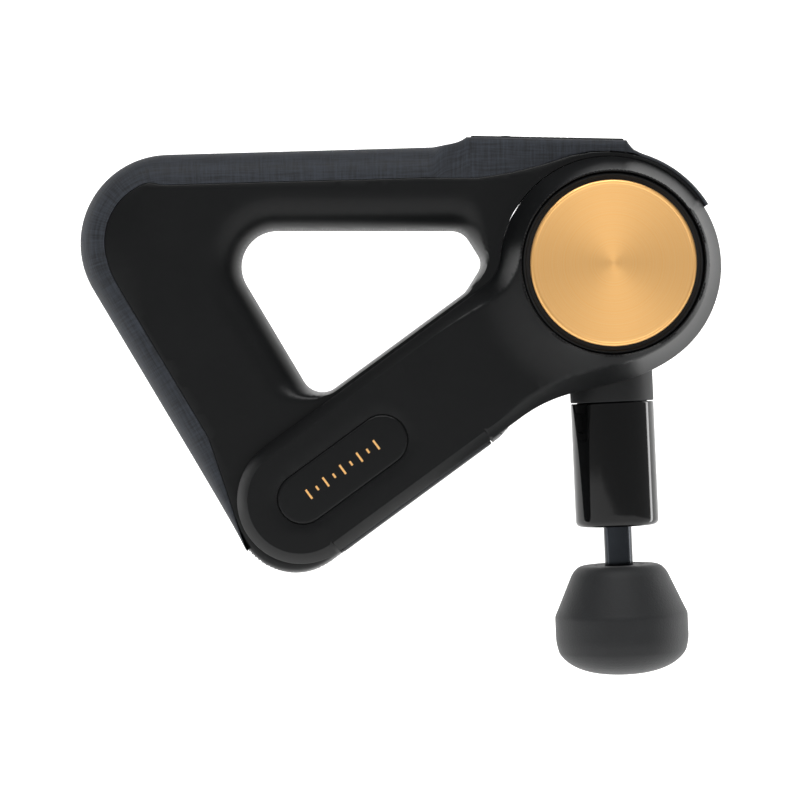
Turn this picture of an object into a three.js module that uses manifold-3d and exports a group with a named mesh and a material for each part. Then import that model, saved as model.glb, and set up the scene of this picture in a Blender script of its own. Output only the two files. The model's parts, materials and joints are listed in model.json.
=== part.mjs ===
// Percussive massage gun with a triangular handle, in millimetres, +Z up.
// Root solids are drawn in a head frame: its origin is the head's centre, +X to the right,
// +Z up and the front side towards -Y. The exported group moves the origin to the grip bar.
import * as THREE from 'three';
import { mergeVertices } from 'three/addons/utils/BufferGeometryUtils.js';
import Module from 'manifold-3d';

const wasm = await Module();
wasm.setup();

// ---- driving dimensions ----------------------------------------------------------------
const GAP = 0.3; // between fixed pieces that touch
const RUNNING = 0.05; // radial clearance of a shaft in its bearing
const SWEEP = 0.6; // between a turning piece and the housing round it
const SNAP = 0.25; // round a cell or plate in its seat
const WALL = 2.4; // moulded walls

const DRUM_R = 41.8; // the drum that turns in the head
const DISC_R = 31.6; // the metal discs on the head's sides
const DISC_MARGIN = 3.2; // dark gap between a disc and its ring
const RING_WIDTH = 5.8;
const RING_PROUD = 10; // ring's face beyond the arm's face
const BODY_FACE = 17; // half thickness of bar, leg and drum
const HOOD_END = 31.8; // degrees above +X where the hood stops
const SNOUT_LEAN = 2.5; // degrees the snout leans from straight down

const BAR_HEIGHT = 34.7; // across the bar, at the head's centre line
const BAR_SLOPE = 1.6; // degrees the top edge falls towards the corner
const LEG_OUT = 177.4; // distance of the leg's outer edge from the head's centre
const LEG_WIDTH = 52.6;
const LEG_ANGLE = 210.8; // direction that the leg's outer edge faces
const ARM_SLOPE = 36.3; // degrees the arm falls from the head
const CORNER_TOP_R = 35;
const CORNER_LOW_R = 23.8;

const GRIP = 1.9; // grip sleeve thickness
const FLANGE = 2.2; // depth of the grip's side flanges
const SEAM_TOP = 13; // width of the grip's flange along the bar
const SEAM_LEG = 10;
const SEAM_HOOD = 3.2; // narrowing over the ring

const COVER_BEVEL = 4.3;
const BADGE_R = 9.7;
const BADGE_LENGTH = 37.8; // between its end centres
const BADGE_BELOW = 2.4; // below the arm's centre line
const BADGE_THICK = 1.3;

const SNOUT_R = 16.3;
const COLLAR_LENGTH = 10.9; // seen below the drum
const SLEEVE_LENGTH = 48.7;
const SLEEVE_WALL = 2.3;
const ROD_SHOWN = 15.3; // rod between the sleeve and the attachment
const PLUNGER_R = 5.5;
const WRIST_R = 2;
const STROKE = 16;
const ROD_LENGTH = 38;
const ROD_THICK = 4.8;
const FOAM_LENGTH = 42.9;
const FOAM_R = 26;
const SOCKET_WALL = 3.25;
const SOCKET_DEPTH = 21.3;

const SHAFT_R = 3;
const STATOR_LENGTH = 9;
const CRANK_THICK = 3.5;

const CELL_R = 9.15;
const CELL_LENGTH = 65;
const CASE_WALL = 1.2;
const PACK_START = 77; // distance of the pack's end from the head's centre, along the arm
const PACK_BASE = -13.2; // pack's inner side, from the arm's centre line
const SKIN_THICK = 1.4;

const BEZEL_START = -65.2; // ends of the control bezel along X
const BEZEL_END = 14.5;
const BEZEL_HALF = 14.6;
const BEZEL_RISE = 1.2; // bezel above the bar's top edge
const BUTTON_TRAVEL = 0.5;
const LOCK_TRAVEL = 3;

const FINE = 40; // sides of the large rounds
const MEDIUM = 26;
const SMALL = 14;

// ---- derived sizes -----------------------------------------------------------------------
const DEG = Math.PI / 180;
const WINDOW_R = DRUM_R + SWEEP; // the opening that the drum turns in
const HOOD_WALL = 1.4;
const HOOD_R = WINDOW_R + HOOD_WALL + GAP + GRIP;
const RING_BORE_R = DISC_R + DISC_MARGIN;
const RING_R = RING_BORE_R + RING_WIDTH;
const HUB_R = RING_BORE_R - RING_WIDTH; // drum journal inside the ring
const BAR_TOP = HOOD_R + 3; // distance of the bar's top edge from the head's centre
const BAR_UNDER = BAR_TOP - BAR_HEIGHT; // height of the bar's lower edge
const LEG_IN = LEG_OUT - LEG_WIDTH;
const PACK_PITCH = 2 * (CELL_R + SNAP) + 0.4; // cell to cell, with the holder's web
const PACK_HALF = PACK_PITCH / 2 + CELL_R + SNAP + CASE_WALL;
const PACK_END = PACK_START + CELL_LENGTH + 7;
const SHOULDER = PACK_BASE + CASE_WALL + PACK_PITCH + SNAP + 2 * CELL_R - 1.2; // full-width part of the pack
const ARM_BELOW = SHOULDER + 4.35; // arm edges, from its centre line
const ARM_ABOVE = WALL * 2 + 7 - PACK_BASE;
const ARM_FACE = PACK_HALF + 5.8; // half thickness over the arm
const ARM_END = PACK_END + 1; // head's centre to the centre of the cover's round end
const RING_FACE = ARM_FACE + RING_PROUD; // half thickness over the rings
const HUB_FACE = BODY_FACE + 10;
const CAVITY_R = HUB_R - 2.5;
const STATOR_R = CAVITY_R - 3.7;
const COUNTERWEIGHT_R = STATOR_R - 3.8;
const COLLAR_END = DRUM_R + COLLAR_LENGTH; // distances along the snout, from the head's centre
const SLEEVE_END = COLLAR_END + SLEEVE_LENGTH;
const FOAM_TOP = SLEEVE_END + ROD_SHOWN;
const FOAM_END = FOAM_TOP + FOAM_LENGTH;
const PLUNGER_END = FOAM_TOP + SOCKET_DEPTH;
const SOCKET_R = PLUNGER_R + SNAP + SOCKET_WALL;
const BEZEL_TOP = BAR_TOP + BEZEL_RISE;
const ROD_ANGLE = Math.asin(STROKE / 2 / ROD_LENGTH);
const WRIST_AT = ROD_LENGTH * Math.cos(ROD_ANGLE);
const ARM_TURN = (180 - ARM_SLOPE) * DEG; // turns local +X along the arm, local +Z to its underside
const HEAD_TURN = -SNOUT_LEAN * DEG;

// ---- solids --------------------------------------------------------------------------------
/** A closed, outward-facing manifold solid from a three.js geometry. */
function solid(geometry) {
  const bare = geometry.clone();
  bare.deleteAttribute('normal');
  bare.deleteAttribute('uv');
  const merged = mergeVertices(bare, 1e-4);
  const vertices = merged.attributes.position.array;
  const triangles = Uint32Array.from(merged.index.array);
  const kept = [];
  let volume = 0;
  const corner = (i) => new THREE.Vector3().fromArray(vertices, 3 * i);
  for (let i = 0; i < triangles.length; i += 3) {
    const [a, b, c] = triangles.slice(i, i + 3);
    if (a === b || b === c || a === c) continue;
    kept.push([a, b, c]);
    volume += corner(a).dot(corner(b).cross(corner(c)));
  }
  const facing = volume < 0 ? kept.map(([a, b, c]) => [a, c, b]) : kept;
  return new wasm.Manifold(new wasm.Mesh({
    numProp: 3,
    vertProperties: Float32Array.from(vertices),
    triVerts: Uint32Array.from(facing.flat()),
  }));
}

/** Joins solids. */
function join(first, ...others) {
  return others.reduce((sum, other) => sum.add(other), first);
}

/** Cuts every tool from a solid. */
function cut(base, ...tools) {
  return tools.reduce((rest, tool) => rest.subtract(tool), base);
}

/** The geometry of a solid. */
function shell(manifold) {
  const mesh = manifold.getMesh();
  const geometry = new THREE.BufferGeometry();
  geometry.setAttribute('position', new THREE.BufferAttribute(Float32Array.from(mesh.vertProperties), 3));
  geometry.setIndex(Array.from(mesh.triVerts));
  geometry.computeVertexNormals();
  return geometry;
}

/** Extrudes an XZ shape between two Y planes, with an optional bevel on both faces. */
function slab(shape, yA, yB, bevel = 0) {
  const low = Math.min(yA, yB);
  const high = Math.max(yA, yB);
  const geometry = new THREE.ExtrudeGeometry(shape, {
    depth: high - low - 2 * bevel,
    curveSegments: 8,
    bevelEnabled: bevel > 0,
    bevelThickness: bevel,
    bevelSize: bevel,
    bevelOffset: -bevel,
    bevelSegments: bevel > 3 ? 2 : 1,
  });
  geometry.rotateX(Math.PI / 2);
  geometry.translate(0, high - bevel, 0);
  return geometry;
}

/** A straight block from its lowest and highest corners. */
function block([x0, y0, z0], [x1, y1, z1]) {
  const geometry = new THREE.BoxGeometry(x1 - x0, y1 - y0, z1 - z0);
  return geometry.translate((x0 + x1) / 2, (y0 + y1) / 2, (z0 + z1) / 2);
}

/** Revolves [radius, height] points about Y; a profile off the axis closes on itself. */
function lathe(profile, sides) {
  const points = profile.map(([r, y]) => new THREE.Vector2(r, y));
  if (profile[0][0] > 0) points.push(points[0].clone());
  return new THREE.LatheGeometry(points, sides);
}

/** A ring or disc about the Y axis. */
function ringY(outer, inner, yA, yB, sides = MEDIUM) {
  const low = Math.min(yA, yB);
  const high = Math.max(yA, yB);
  if (inner === 0) {
    return lathe([[0, low], [outer, low], [outer, high], [0, high]], sides);
  }
  return lathe([[inner, low], [outer, low], [outer, high], [inner, high]], sides);
}

/** The same about the Z axis, for pieces along the snout; distances run down from the head. */
function ringDown(outer, inner, from, to, sides = MEDIUM) {
  return ringY(outer, inner, -to, -from, sides).rotateX(Math.PI / 2);
}

/** A profile of [radius, distance down the snout] points revolved about the snout. */
function latheDown(profile, sides = MEDIUM) {
  return lathe(profile.map(([r, down]) => [r, -down]), sides).rotateX(Math.PI / 2);
}

/** Turns a geometry drawn along the arm into the head frame. */
function alongArm(geometry) {
  return geometry.rotateY(ARM_TURN);
}

// ---- outlines ------------------------------------------------------------------------------
/** The point where two edges meet, each given by the way it faces (degrees) and its distance. */
function meet([facingA, distanceA], [facingB, distanceB], radius) {
  const [ax, az] = [Math.cos(facingA * DEG), Math.sin(facingA * DEG)];
  const [bx, bz] = [Math.cos(facingB * DEG), Math.sin(facingB * DEG)];
  const scale = ax * bz - az * bx;
  return {
    x: (distanceA * bz - distanceB * az) / scale,
    z: (ax * distanceB - bx * distanceA) / scale,
    r: radius,
  };
}

/** Moves every edge of a convex counter-clockwise outline outward, and its corner radii with it. */
function grown(corners, amount) {
  const facing = corners.map((corner, i) => {
    const next = corners[(i + 1) % corners.length];
    const length = Math.hypot(next.x - corner.x, next.z - corner.z);
    const [nx, nz] = [(next.z - corner.z) / length, -(next.x - corner.x) / length];
    return [Math.atan2(nz, nx) / DEG, nx * corner.x + nz * corner.z + amount];
  });
  return corners.map((corner, i) => {
    const before = facing[(i + corners.length - 1) % corners.length];
    return meet(before, facing[i], corner.r > 0 ? Math.max(corner.r + amount, 0.5) : 0);
  });
}

/** A closed shape from corners, each rounded to its radius. */
function rounded(corners) {
  const shape = new THREE.Shape();
  corners.forEach((corner, i) => {
    const before = corners[(i + corners.length - 1) % corners.length];
    const after = corners[(i + 1) % corners.length];
    const here = new THREE.Vector2(corner.x, corner.z);
    const back = new THREE.Vector2(before.x, before.z).sub(here).normalize();
    const on = new THREE.Vector2(after.x, after.z).sub(here).normalize();
    const half = Math.acos(THREE.MathUtils.clamp(back.dot(on), -1, 1)) / 2;
    if (corner.r === 0) {
      if (i === 0) shape.moveTo(here.x, here.y);
      else shape.lineTo(here.x, here.y);
      return;
    }
    const reach = corner.r / Math.tan(half);
    const start = here.clone().addScaledVector(back, reach);
    const end = here.clone().addScaledVector(on, reach);
    const middle = here.clone().addScaledVector(back.clone().add(on).normalize(), corner.r / Math.sin(half));
    const from = Math.atan2(start.y - middle.y, start.x - middle.x);
    const to = Math.atan2(end.y - middle.y, end.x - middle.x);
    if (i === 0) shape.moveTo(start.x, start.y);
    else shape.lineTo(start.x, start.y);
    shape.absarc(middle.x, middle.y, corner.r, from, to, false);
  });
  shape.closePath();
  return shape;
}

/** A point of the head frame from arm distances: along the arm and towards its underside. */
function armPoint(along, below) {
  return {
    x: along * Math.cos(ARM_TURN) + below * Math.sin(ARM_TURN),
    z: -along * Math.sin(ARM_TURN) + below * Math.cos(ARM_TURN),
  };
}

const UNDERSIDE = 270 + ARM_SLOPE; // direction that the arm's underside faces

/** The whole body outline; the grip's edges and the bare underside move in separately. */
function bodyCorners(gripInset, undersideInset = 0) {
  const top = [90 + BAR_SLOPE, BAR_TOP - gripInset];
  const leg = [LEG_ANGLE, LEG_OUT - gripInset];
  const underside = [UNDERSIDE, ARM_BELOW - undersideInset];
  const rampFoot = meet(top, [180, -BEZEL_START], 0);
  return [
    { ...rampFoot },
    meet(top, leg, CORNER_TOP_R - gripInset),
    meet(leg, underside, CORNER_LOW_R - gripInset),
    { ...armPoint(HUB_R, ARM_BELOW - undersideInset), r: 0 },
    { x: 0, z: 0, r: 0 },
    { x: 0, z: HOOD_R - gripInset, r: 0 },
  ];
}

/** The hand hole. */
function holeCorners() {
  const apexX = -(WINDOW_R + 6.6);
  const top = [90, BAR_UNDER];
  const leg = [LEG_ANGLE, LEG_IN];
  const arm = [UNDERSIDE, -ARM_ABOVE];
  const bend = meet(arm, [180, -apexX + 6.5], 8);
  return [
    { x: apexX - 7.5, z: BAR_UNDER, r: 4 },
    meet(top, leg, 14),
    meet(leg, arm, 8.3),
    bend,
    { x: apexX, z: 1.5, r: 1.5 },
  ];
}

/** Everything inside the grip's seam: the sleeve's side flanges stop at its edge. */
function seamCorners() {
  const top = [90 + BAR_SLOPE, BAR_TOP - SEAM_TOP];
  const leg = [LEG_ANGLE, LEG_OUT - SEAM_LEG];
  const lowEnd = meet([LEG_ANGLE, LEG_OUT], [270, -(armPoint(ARM_END, ARM_BELOW).z - 0.5)], 0);
  const legEnd = meet(leg, [270, -lowEnd.z - 40], 0);
  return [
    { x: 0, z: HOOD_R - SEAM_HOOD, r: 0 },
    meet(top, [180, -BEZEL_START], 0),
    meet(top, leg, CORNER_TOP_R - SEAM_LEG),
    legEnd,
    { x: lowEnd.x, z: lowEnd.z, r: 0 },
    { x: lowEnd.x, z: lowEnd.z - LEG_OUT, r: 0 },
    { x: HOOD_R, z: lowEnd.z - LEG_OUT, r: 0 },
    { x: HOOD_R, z: HOOD_R / 4, r: 0 },
  ];
}

/** The body with the hood's disc, through all of its thickness. */
function bodySolid(gripInset, undersideInset, yA, yB) {
  return join(
    solid(slab(rounded(bodyCorners(gripInset, undersideInset)), yA, yB)),
    solid(ringY(HOOD_R - gripInset, 0, yA, yB, FINE)),
  );
}

/** The space the drum turns in, and the space that the snout sweeps outside it. */
function sweepSolid() {
  const reach = 4 * HOOD_R;
  const side = -SNOUT_R - 2 * SWEEP;
  const corner = (x, z) => ({
    x: x * Math.cos(HEAD_TURN) + z * Math.sin(HEAD_TURN),
    z: -x * Math.sin(HEAD_TURN) + z * Math.cos(HEAD_TURN),
    r: 0,
  });
  const sector = rounded([
    corner(side, -DRUM_R / 2),
    corner(side, -reach),
    corner(reach, -reach),
    { x: reach * Math.cos(HOOD_END * DEG), z: reach * Math.sin(HOOD_END * DEG), r: 0 },
    { x: 0, z: 0, r: 0 },
  ]);
  return join(
    solid(ringY(WINDOW_R, 0, -BODY_FACE - 1, BODY_FACE + 1, FINE)),
    solid(slab(sector, -BODY_FACE - 1, BODY_FACE + 1)),
  );
}

/** The battery's bay, open through the arm's underside. */
function bayGeometry(clearance, depth) {
  return alongArm(block(
    [PACK_START - clearance, -PACK_HALF - clearance, PACK_BASE - clearance],
    [PACK_END + clearance, PACK_HALF + clearance, depth],
  ));
}

// ---- fasteners and small places ---------------------------------------------------------
const legMid = (LEG_IN + LEG_OUT) / 2;
const legPoint = (along) => ({
  x: legMid * Math.cos(LEG_ANGLE * DEG) + along * Math.sin(LEG_ANGLE * DEG),
  z: legMid * Math.sin(LEG_ANGLE * DEG) - along * Math.cos(LEG_ANGLE * DEG),
});
const barMid = (BAR_TOP + BAR_UNDER) / 2;
const topCorner = meet([90 + BAR_SLOPE, BAR_TOP], [LEG_ANGLE, LEG_OUT], 0);
const SCREWS = [
  { x: BEZEL_START - 8, z: barMid },
  { x: topCorner.x + 1.3 * CORNER_TOP_R, z: barMid },
  legPoint(LEG_IN / 2 + 10),
  legPoint(LEG_IN / 4 - 8),
  armPoint(PACK_END + 12, 4),
  armPoint(PACK_START - 15, -ARM_ABOVE / 3),
];
const SCREW_R = 1.5;
const SCREW_HEAD_R = 2.9;
const BOSS_R = 3.8;
const SCREW_TIP = -8;

/** A cylinder along Y at a place in the XZ plane. */
function peg({ x, z }, radius, yA, yB, sides = SMALL) {
  return ringY(radius, 0, yA, yB, sides).translate(x, 0, z);
}

/** One half of the handle: outer walls, screw bosses and seats for grip, drum and battery. */
function handleHalf(side) {
  const parting = side * GAP / 2;
  const face = side * BODY_FACE;
  const floor = side * (BODY_FACE - FLANGE - GAP - WALL);
  const past = side * (BODY_FACE + 1);
  const inset = GRIP + GAP;
  const outside = bodySolid(inset, 0, parting, face);
  const hole = solid(slab(rounded(holeCorners()), -past, past));
  const pocket = cut(
    solid(slab(rounded(bodyCorners(inset + WALL, WALL)), -side, floor)),
    solid(slab(rounded(grown(holeCorners(), WALL)), -past, past)),
    solid(ringY(WINDOW_R + WALL, 0, -past, past, FINE)),
    solid(bayGeometry(GAP + WALL, ARM_BELOW + WALL)),
    ...SCREWS.map((place) => solid(peg(place, BOSS_R, -past, past))),
  );
  const flange = cut(
    bodySolid(0, 0, side * (BODY_FACE - FLANGE - GAP), past),
    solid(slab(rounded(grown(seamCorners(), -GAP)), -past * 2, past * 2)),
  );
  const bores = SCREWS.map((place) => (side > 0
    ? join(
      solid(peg(place, SCREW_R + GAP, -1, past)),
      solid(peg(place, SCREW_HEAD_R + GAP, BODY_FACE - 5, past)),
    )
    : solid(peg(place, SCREW_R + SNAP / 2, SCREW_TIP - 1, 1))));
  return cut(outside, hole, sweepSolid(), pocket, flange, solid(bayGeometry(GAP, 3 * ARM_BELOW)),
    releaseBay(), ...bores);
}

// ---- grip sleeve and side covers ---------------------------------------------------------
/** The soft sleeve that wraps the bar, the corner, the leg's outer edge and the hood. */
function gripSleeve() {
  const core = BODY_FACE - FLANGE;
  const blank = join(
    solid(slab(rounded(bodyCorners(0, 0)), -BODY_FACE, BODY_FACE, 1.2)),
    solid(ringY(HOOD_R, 0, -BODY_FACE, BODY_FACE, FINE)),
  );
  const bezelSeat = solid(block(
    [BEZEL_START - GAP, -BEZEL_HALF - GAP, BAR_UNDER + 2 * WALL],
    [BEZEL_END + GAP, BEZEL_HALF + GAP, BEZEL_TOP + 1],
  ));
  const low = meet([LEG_ANGLE, LEG_OUT], [270, -(armPoint(ARM_END, ARM_BELOW).z - 0.5)], 0);
  const below = block(
    [low.x - 2 * CORNER_TOP_R, -2 * BODY_FACE, low.z - 2 * CORNER_TOP_R],
    [HOOD_R, 2 * BODY_FACE, low.z],
  );
  return cut(
    blank,
    bodySolid(GRIP, 0, -core, core),
    solid(slab(rounded(seamCorners()), -2 * BODY_FACE, 2 * BODY_FACE)),
    sweepSolid(),
    bezelSeat,
    solid(below),
  );
}

/** The pill that the badge plate and its recess share. */
function badgeShape(clearance) {
  const end = ARM_END - 1.6;
  const start = end - BADGE_LENGTH;
  const shape = new THREE.Shape();
  shape.absarc(end, BADGE_BELOW, BADGE_R + clearance, -Math.PI / 2, Math.PI / 2, false);
  shape.absarc(start, BADGE_BELOW, BADGE_R + clearance, Math.PI / 2, 1.5 * Math.PI, false);
  shape.closePath();
  return shape;
}

/** A geometry in the arm's plane: local X along the arm, local Z to its underside. */
function armSlab(shape, yA, yB, bevel = 0) {
  return alongArm(slab(shape, yA, yB, bevel));
}

/** The raised cover on one side: the arm's flat face and the ring round the head. */
function sideCover(side) {
  const base = side * (BODY_FACE + GAP);
  const arm = new THREE.Shape();
  arm.absarc(ARM_END, 0, ARM_ABOVE, -Math.PI / 2, Math.PI / 2, false);
  arm.lineTo(0, ARM_ABOVE);
  arm.lineTo(0, -ARM_ABOVE);
  arm.closePath();
  const bush = HUB_R + 3.5;
  const blank = cut(
    join(
      solid(armSlab(arm, side * (BODY_FACE - 2 * COVER_BEVEL), side * ARM_FACE, COVER_BEVEL)),
      solid(ringY(RING_R, 0, base, side * RING_FACE, FINE)),
    ),
    solid(block([-2 * LEG_OUT, Math.min(0, base), -2 * LEG_OUT], [2 * LEG_OUT, Math.max(0, base), LEG_OUT])),
  );
  return cut(
    blank,
    solid(ringY(RING_BORE_R, 0, side * (HUB_FACE - 2.5), side * 2 * RING_FACE, FINE)),
    solid(ringY(bush, 0, 0, side * 2 * RING_FACE, FINE)),
    solid(bayGeometry(GAP, 3 * ARM_BELOW)),
    releaseBay(),
    solid(armSlab(badgeShape(GAP), side * (ARM_FACE - BADGE_THICK - GAP), side * 2 * ARM_FACE)),
  );
}

// ---- control bezel ---------------------------------------------------------------------------
const KEY_R = 2.6;
const KEY_CENTRE_R = 3.6;
const KEY_SPREAD = 7.2;
const KEYS_AT = BEZEL_START + 25.2; // middle of the key cluster
const SCREEN_START = KEYS_AT + KEY_SPREAD + KEY_R + 3;
const SCREEN_END = BEZEL_END - 10;
const SCREEN_HALF = 10;
const ROOF = BEZEL_TOP - 2; // underside of the bezel's roof
const BOARD_AT = HOOD_R - 0.8;
const KEYS = {
  key_select: [0, 0, KEY_CENTRE_R],
  key_faster: [KEY_SPREAD, 0, KEY_R],
  key_slower: [-KEY_SPREAD, 0, KEY_R],
  key_left: [0, -KEY_SPREAD, KEY_R],
  key_right: [0, KEY_SPREAD, KEY_R],
};

/** The raised bezel over the keys and the screen. */
function bezel() {
  const profile = new THREE.Shape();
  profile.moveTo(BEZEL_START, BAR_UNDER + 2 * WALL);
  profile.lineTo(BEZEL_START, BAR_TOP - 1.8);
  profile.quadraticCurveTo(BEZEL_START + 6, BAR_TOP - 1.6, BEZEL_START + 9.8, BEZEL_TOP);
  profile.lineTo(BEZEL_END - 7, BEZEL_TOP - 1.2);
  profile.quadraticCurveTo(BEZEL_END - 4, BAR_TOP - 3.5, BEZEL_END, HOOD_R - 2.4);
  profile.lineTo(BEZEL_END, BAR_UNDER + 2 * WALL);
  profile.closePath();
  const tray = block(
    [BEZEL_START + 8, -BEZEL_HALF + WALL / 2, 0],
    [SCREEN_END + 2, BEZEL_HALF - WALL / 2, ROOF - 0.6],
  );
  const glass = block(
    [SCREEN_START - GAP, -SCREEN_HALF - GAP, 0],
    [SCREEN_END + GAP, SCREEN_HALF + GAP, 2 * BEZEL_TOP],
  );
  const keyHoles = Object.values(KEYS).map(([x, y, radius]) => solid(
    ringDown(radius + GAP, 0, -2 * BEZEL_TOP, 0, SMALL).translate(KEYS_AT + x, y, 0),
  ));
  return cut(
    solid(slab(profile, -BEZEL_HALF, BEZEL_HALF, 0)),
    bodySolid(GRIP, 0, -BODY_FACE - 1, BODY_FACE + 1),
    solid(tray),
    solid(glass),
    ...keyHoles,
  );
}

// ---- battery pack and its release --------------------------------------------------------------
const SKIN_AT = ARM_BELOW - SKIN_THICK;
const RELEASE_AT = PACK_START - 10;
const RELEASE_HALF = 5;
const RELEASE_DEEP = 7;

/** The bay that the release button slides in. */
function releaseBay() {
  return solid(alongArm(block(
    [RELEASE_AT - RELEASE_HALF - GAP, -RELEASE_HALF - 2 - GAP, ARM_BELOW - RELEASE_DEEP - 2.5],
    [RELEASE_AT + RELEASE_HALF + GAP, RELEASE_HALF + 2 + GAP, 3 * ARM_BELOW],
  )));
}

/** Places of the cells across the pack: [across, towards the underside]. */
const CELL_PLACES = [-1, 1].flatMap((across) => [0, 1].map((row) => [
  across * PACK_PITCH / 2,
  PACK_BASE + 1.2 + SNAP + CELL_R + row * PACK_PITCH,
]));

/** A cylinder along local X of the arm. */
function cellGeometry(radius, from, to, [across, below]) {
  return ringY(radius, 0, from, to, SMALL).rotateZ(-Math.PI / 2).translate(0, across, below);
}

/** The pack's case: one moulding with a bore for each cell. */
function packCase() {
  const body = join(
    solid(block([PACK_START, -PACK_HALF, PACK_BASE], [PACK_END, PACK_HALF, SHOULDER])),
    solid(block([PACK_START, -BODY_FACE, PACK_BASE], [PACK_END, BODY_FACE, SKIN_AT - GAP])),
  );
  return cut(
    body,
    ...CELL_PLACES.map((place) => solid(
      cellGeometry(CELL_R + SNAP, PACK_START - 1, PACK_START + 3 + CELL_LENGTH, place),
    )),
    solid(block(
      [PACK_START - 1, -PACK_HALF + 1.2, PACK_BASE + 1.2],
      [PACK_START + 2.4, PACK_HALF - 1.2, SHOULDER - CASE_WALL],
    )),
    solid(block(
      [PACK_END - 3.4, -BODY_FACE / 2 - GAP, 0],
      [PACK_END + 1, -BODY_FACE / 2 + 9 + GAP, 4 + GAP],
    )),
  );
}

// ---- attachment ---------------------------------------------------------------------------
/** The foam head's outside: fillet, cone, band and dome, with a bore for its socket. */
function foamHead() {
  const bandTop = FOAM_END - 25.2;
  const bandLow = FOAM_END - 13;
  const dome = [];
  const steps = 8;
  for (let i = 1; i < steps; i += 1) {
    const angle = (i / steps) * 90 * DEG;
    dome.push([FOAM_R * Math.cos(angle) ** 0.8, bandLow + 13 * Math.sin(angle)]);
  }
  return latheDown([
    [SOCKET_R + GAP, FOAM_TOP],
    [SOCKET_R + 6, FOAM_TOP],
    [SOCKET_R + 8, FOAM_TOP + 1.2],
    [FOAM_R - 1, bandTop],
    [FOAM_R, bandTop + 1.2],
    [FOAM_R, bandLow],
    ...dome,
    [0, FOAM_END],
    [0, PLUNGER_END + 3],
    [SOCKET_R + GAP, PLUNGER_END + 3],
    [SOCKET_R + GAP, FOAM_TOP],
  ].slice(0, -1));
}

// ---- scene graph ------------------------------------------------------------------------------
const FINISH = {
  satinBlack: { color: 0x1b1c1f, roughness: 0.45, metalness: 0 },
  matteBlack: { color: 0x17181a, roughness: 0.8, metalness: 0 },
  glossBlack: { color: 0x0b0b0d, roughness: 0.08, metalness: 0 },
  grip: { color: 0x34383e, roughness: 0.75, metalness: 0 },
  gold: { color: 0xe9a955, roughness: 0.28, metalness: 1 },
  glass: { color: 0x20262b, roughness: 0.05, metalness: 0 },
  steel: { color: 0x9a9da1, roughness: 0.3, metalness: 1 },
  blackSteel: { color: 0x2a2b2e, roughness: 0.22, metalness: 1 },
  aluminium: { color: 0xb4b7bb, roughness: 0.4, metalness: 1 },
  copper: { color: 0xb06a3a, roughness: 0.4, metalness: 1 },
  bronze: { color: 0x9a7440, roughness: 0.45, metalness: 1 },
  board: { color: 0x1d4a33, roughness: 0.6, metalness: 0 },
  foam: { color: 0x1c1d20, roughness: 0.85, metalness: 0 },
  cellWrap: { color: 0x2f6f9c, roughness: 0.5, metalness: 0 },
};

const group = new THREE.Group();
const head = new THREE.Group(); // the snout's own frame: -Z runs down the snout
head.rotation.y = HEAD_TURN;
const arm = new THREE.Group(); // the arm's own frame: +X away from the head, +Z to the underside
arm.rotation.y = ARM_TURN;
group.add(head, arm);

/** Adds a named mesh with its own material to a group. */
function place(name, piece, finish, parent = group) {
  const geometry = piece.isBufferGeometry ? shell(solid(piece)) : shell(piece);
  const mesh = new THREE.Mesh(geometry, new THREE.MeshStandardMaterial(FINISH[finish]));
  mesh.name = name;
  parent.add(mesh);
  return mesh;
}

// handle
place('front_shell', handleHalf(-1), 'satinBlack');
place('rear_shell', handleHalf(1), 'satinBlack');
place('grip_sleeve', gripSleeve(), 'grip');
for (const [name, side] of [['front', -1], ['rear', 1]]) {
  const bushEnd = HUB_FACE - 2.8;
  place(`${name}_cover`, sideCover(side), 'satinBlack');
  place(`${name}_badge_plate`, armSlab(badgeShape(0), side * (ARM_FACE - BADGE_THICK), side * ARM_FACE, 0.3),
    'satinBlack');
  place(`${name}_swivel_bush`,
    ringY(HUB_R + 3.2, HUB_R + GAP, side * (BODY_FACE + GAP), side * bushEnd, FINE), 'bronze');
}
place('disc_carrier', ringY(RING_BORE_R - GAP, 0, -RING_FACE + 3, -RING_FACE + 4.6, FINE), 'matteBlack');
place('front_disc', lathe([
  [0, -RING_FACE + 0.3],
  [DISC_R - 1, -RING_FACE + 0.3],
  [DISC_R, -RING_FACE + 0.8],
  [DISC_R, -RING_FACE + 2.6],
  [0, -RING_FACE + 2.6],
], FINE), 'gold');
SCREWS.forEach(({ x, z }, i) => {
  const headAt = BODY_FACE - 5;
  place(`case_screw_${i + 1}`, lathe([
    [0, SCREW_TIP],
    [SCREW_R, SCREW_TIP + 1],
    [SCREW_R, headAt + GAP],
    [SCREW_HEAD_R, headAt + GAP],
    [SCREW_HEAD_R, headAt + 2.2],
    [0, headAt + 2.6],
  ], 16).translate(x, 0, z), 'steel');
});
place('main_board', block(
  [topCorner.x + 2 * CORNER_TOP_R, -0.8, BAR_UNDER + WALL + 3],
  [BEZEL_START - 15, 0.8, BAR_TOP - 12],
), 'board');

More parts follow.
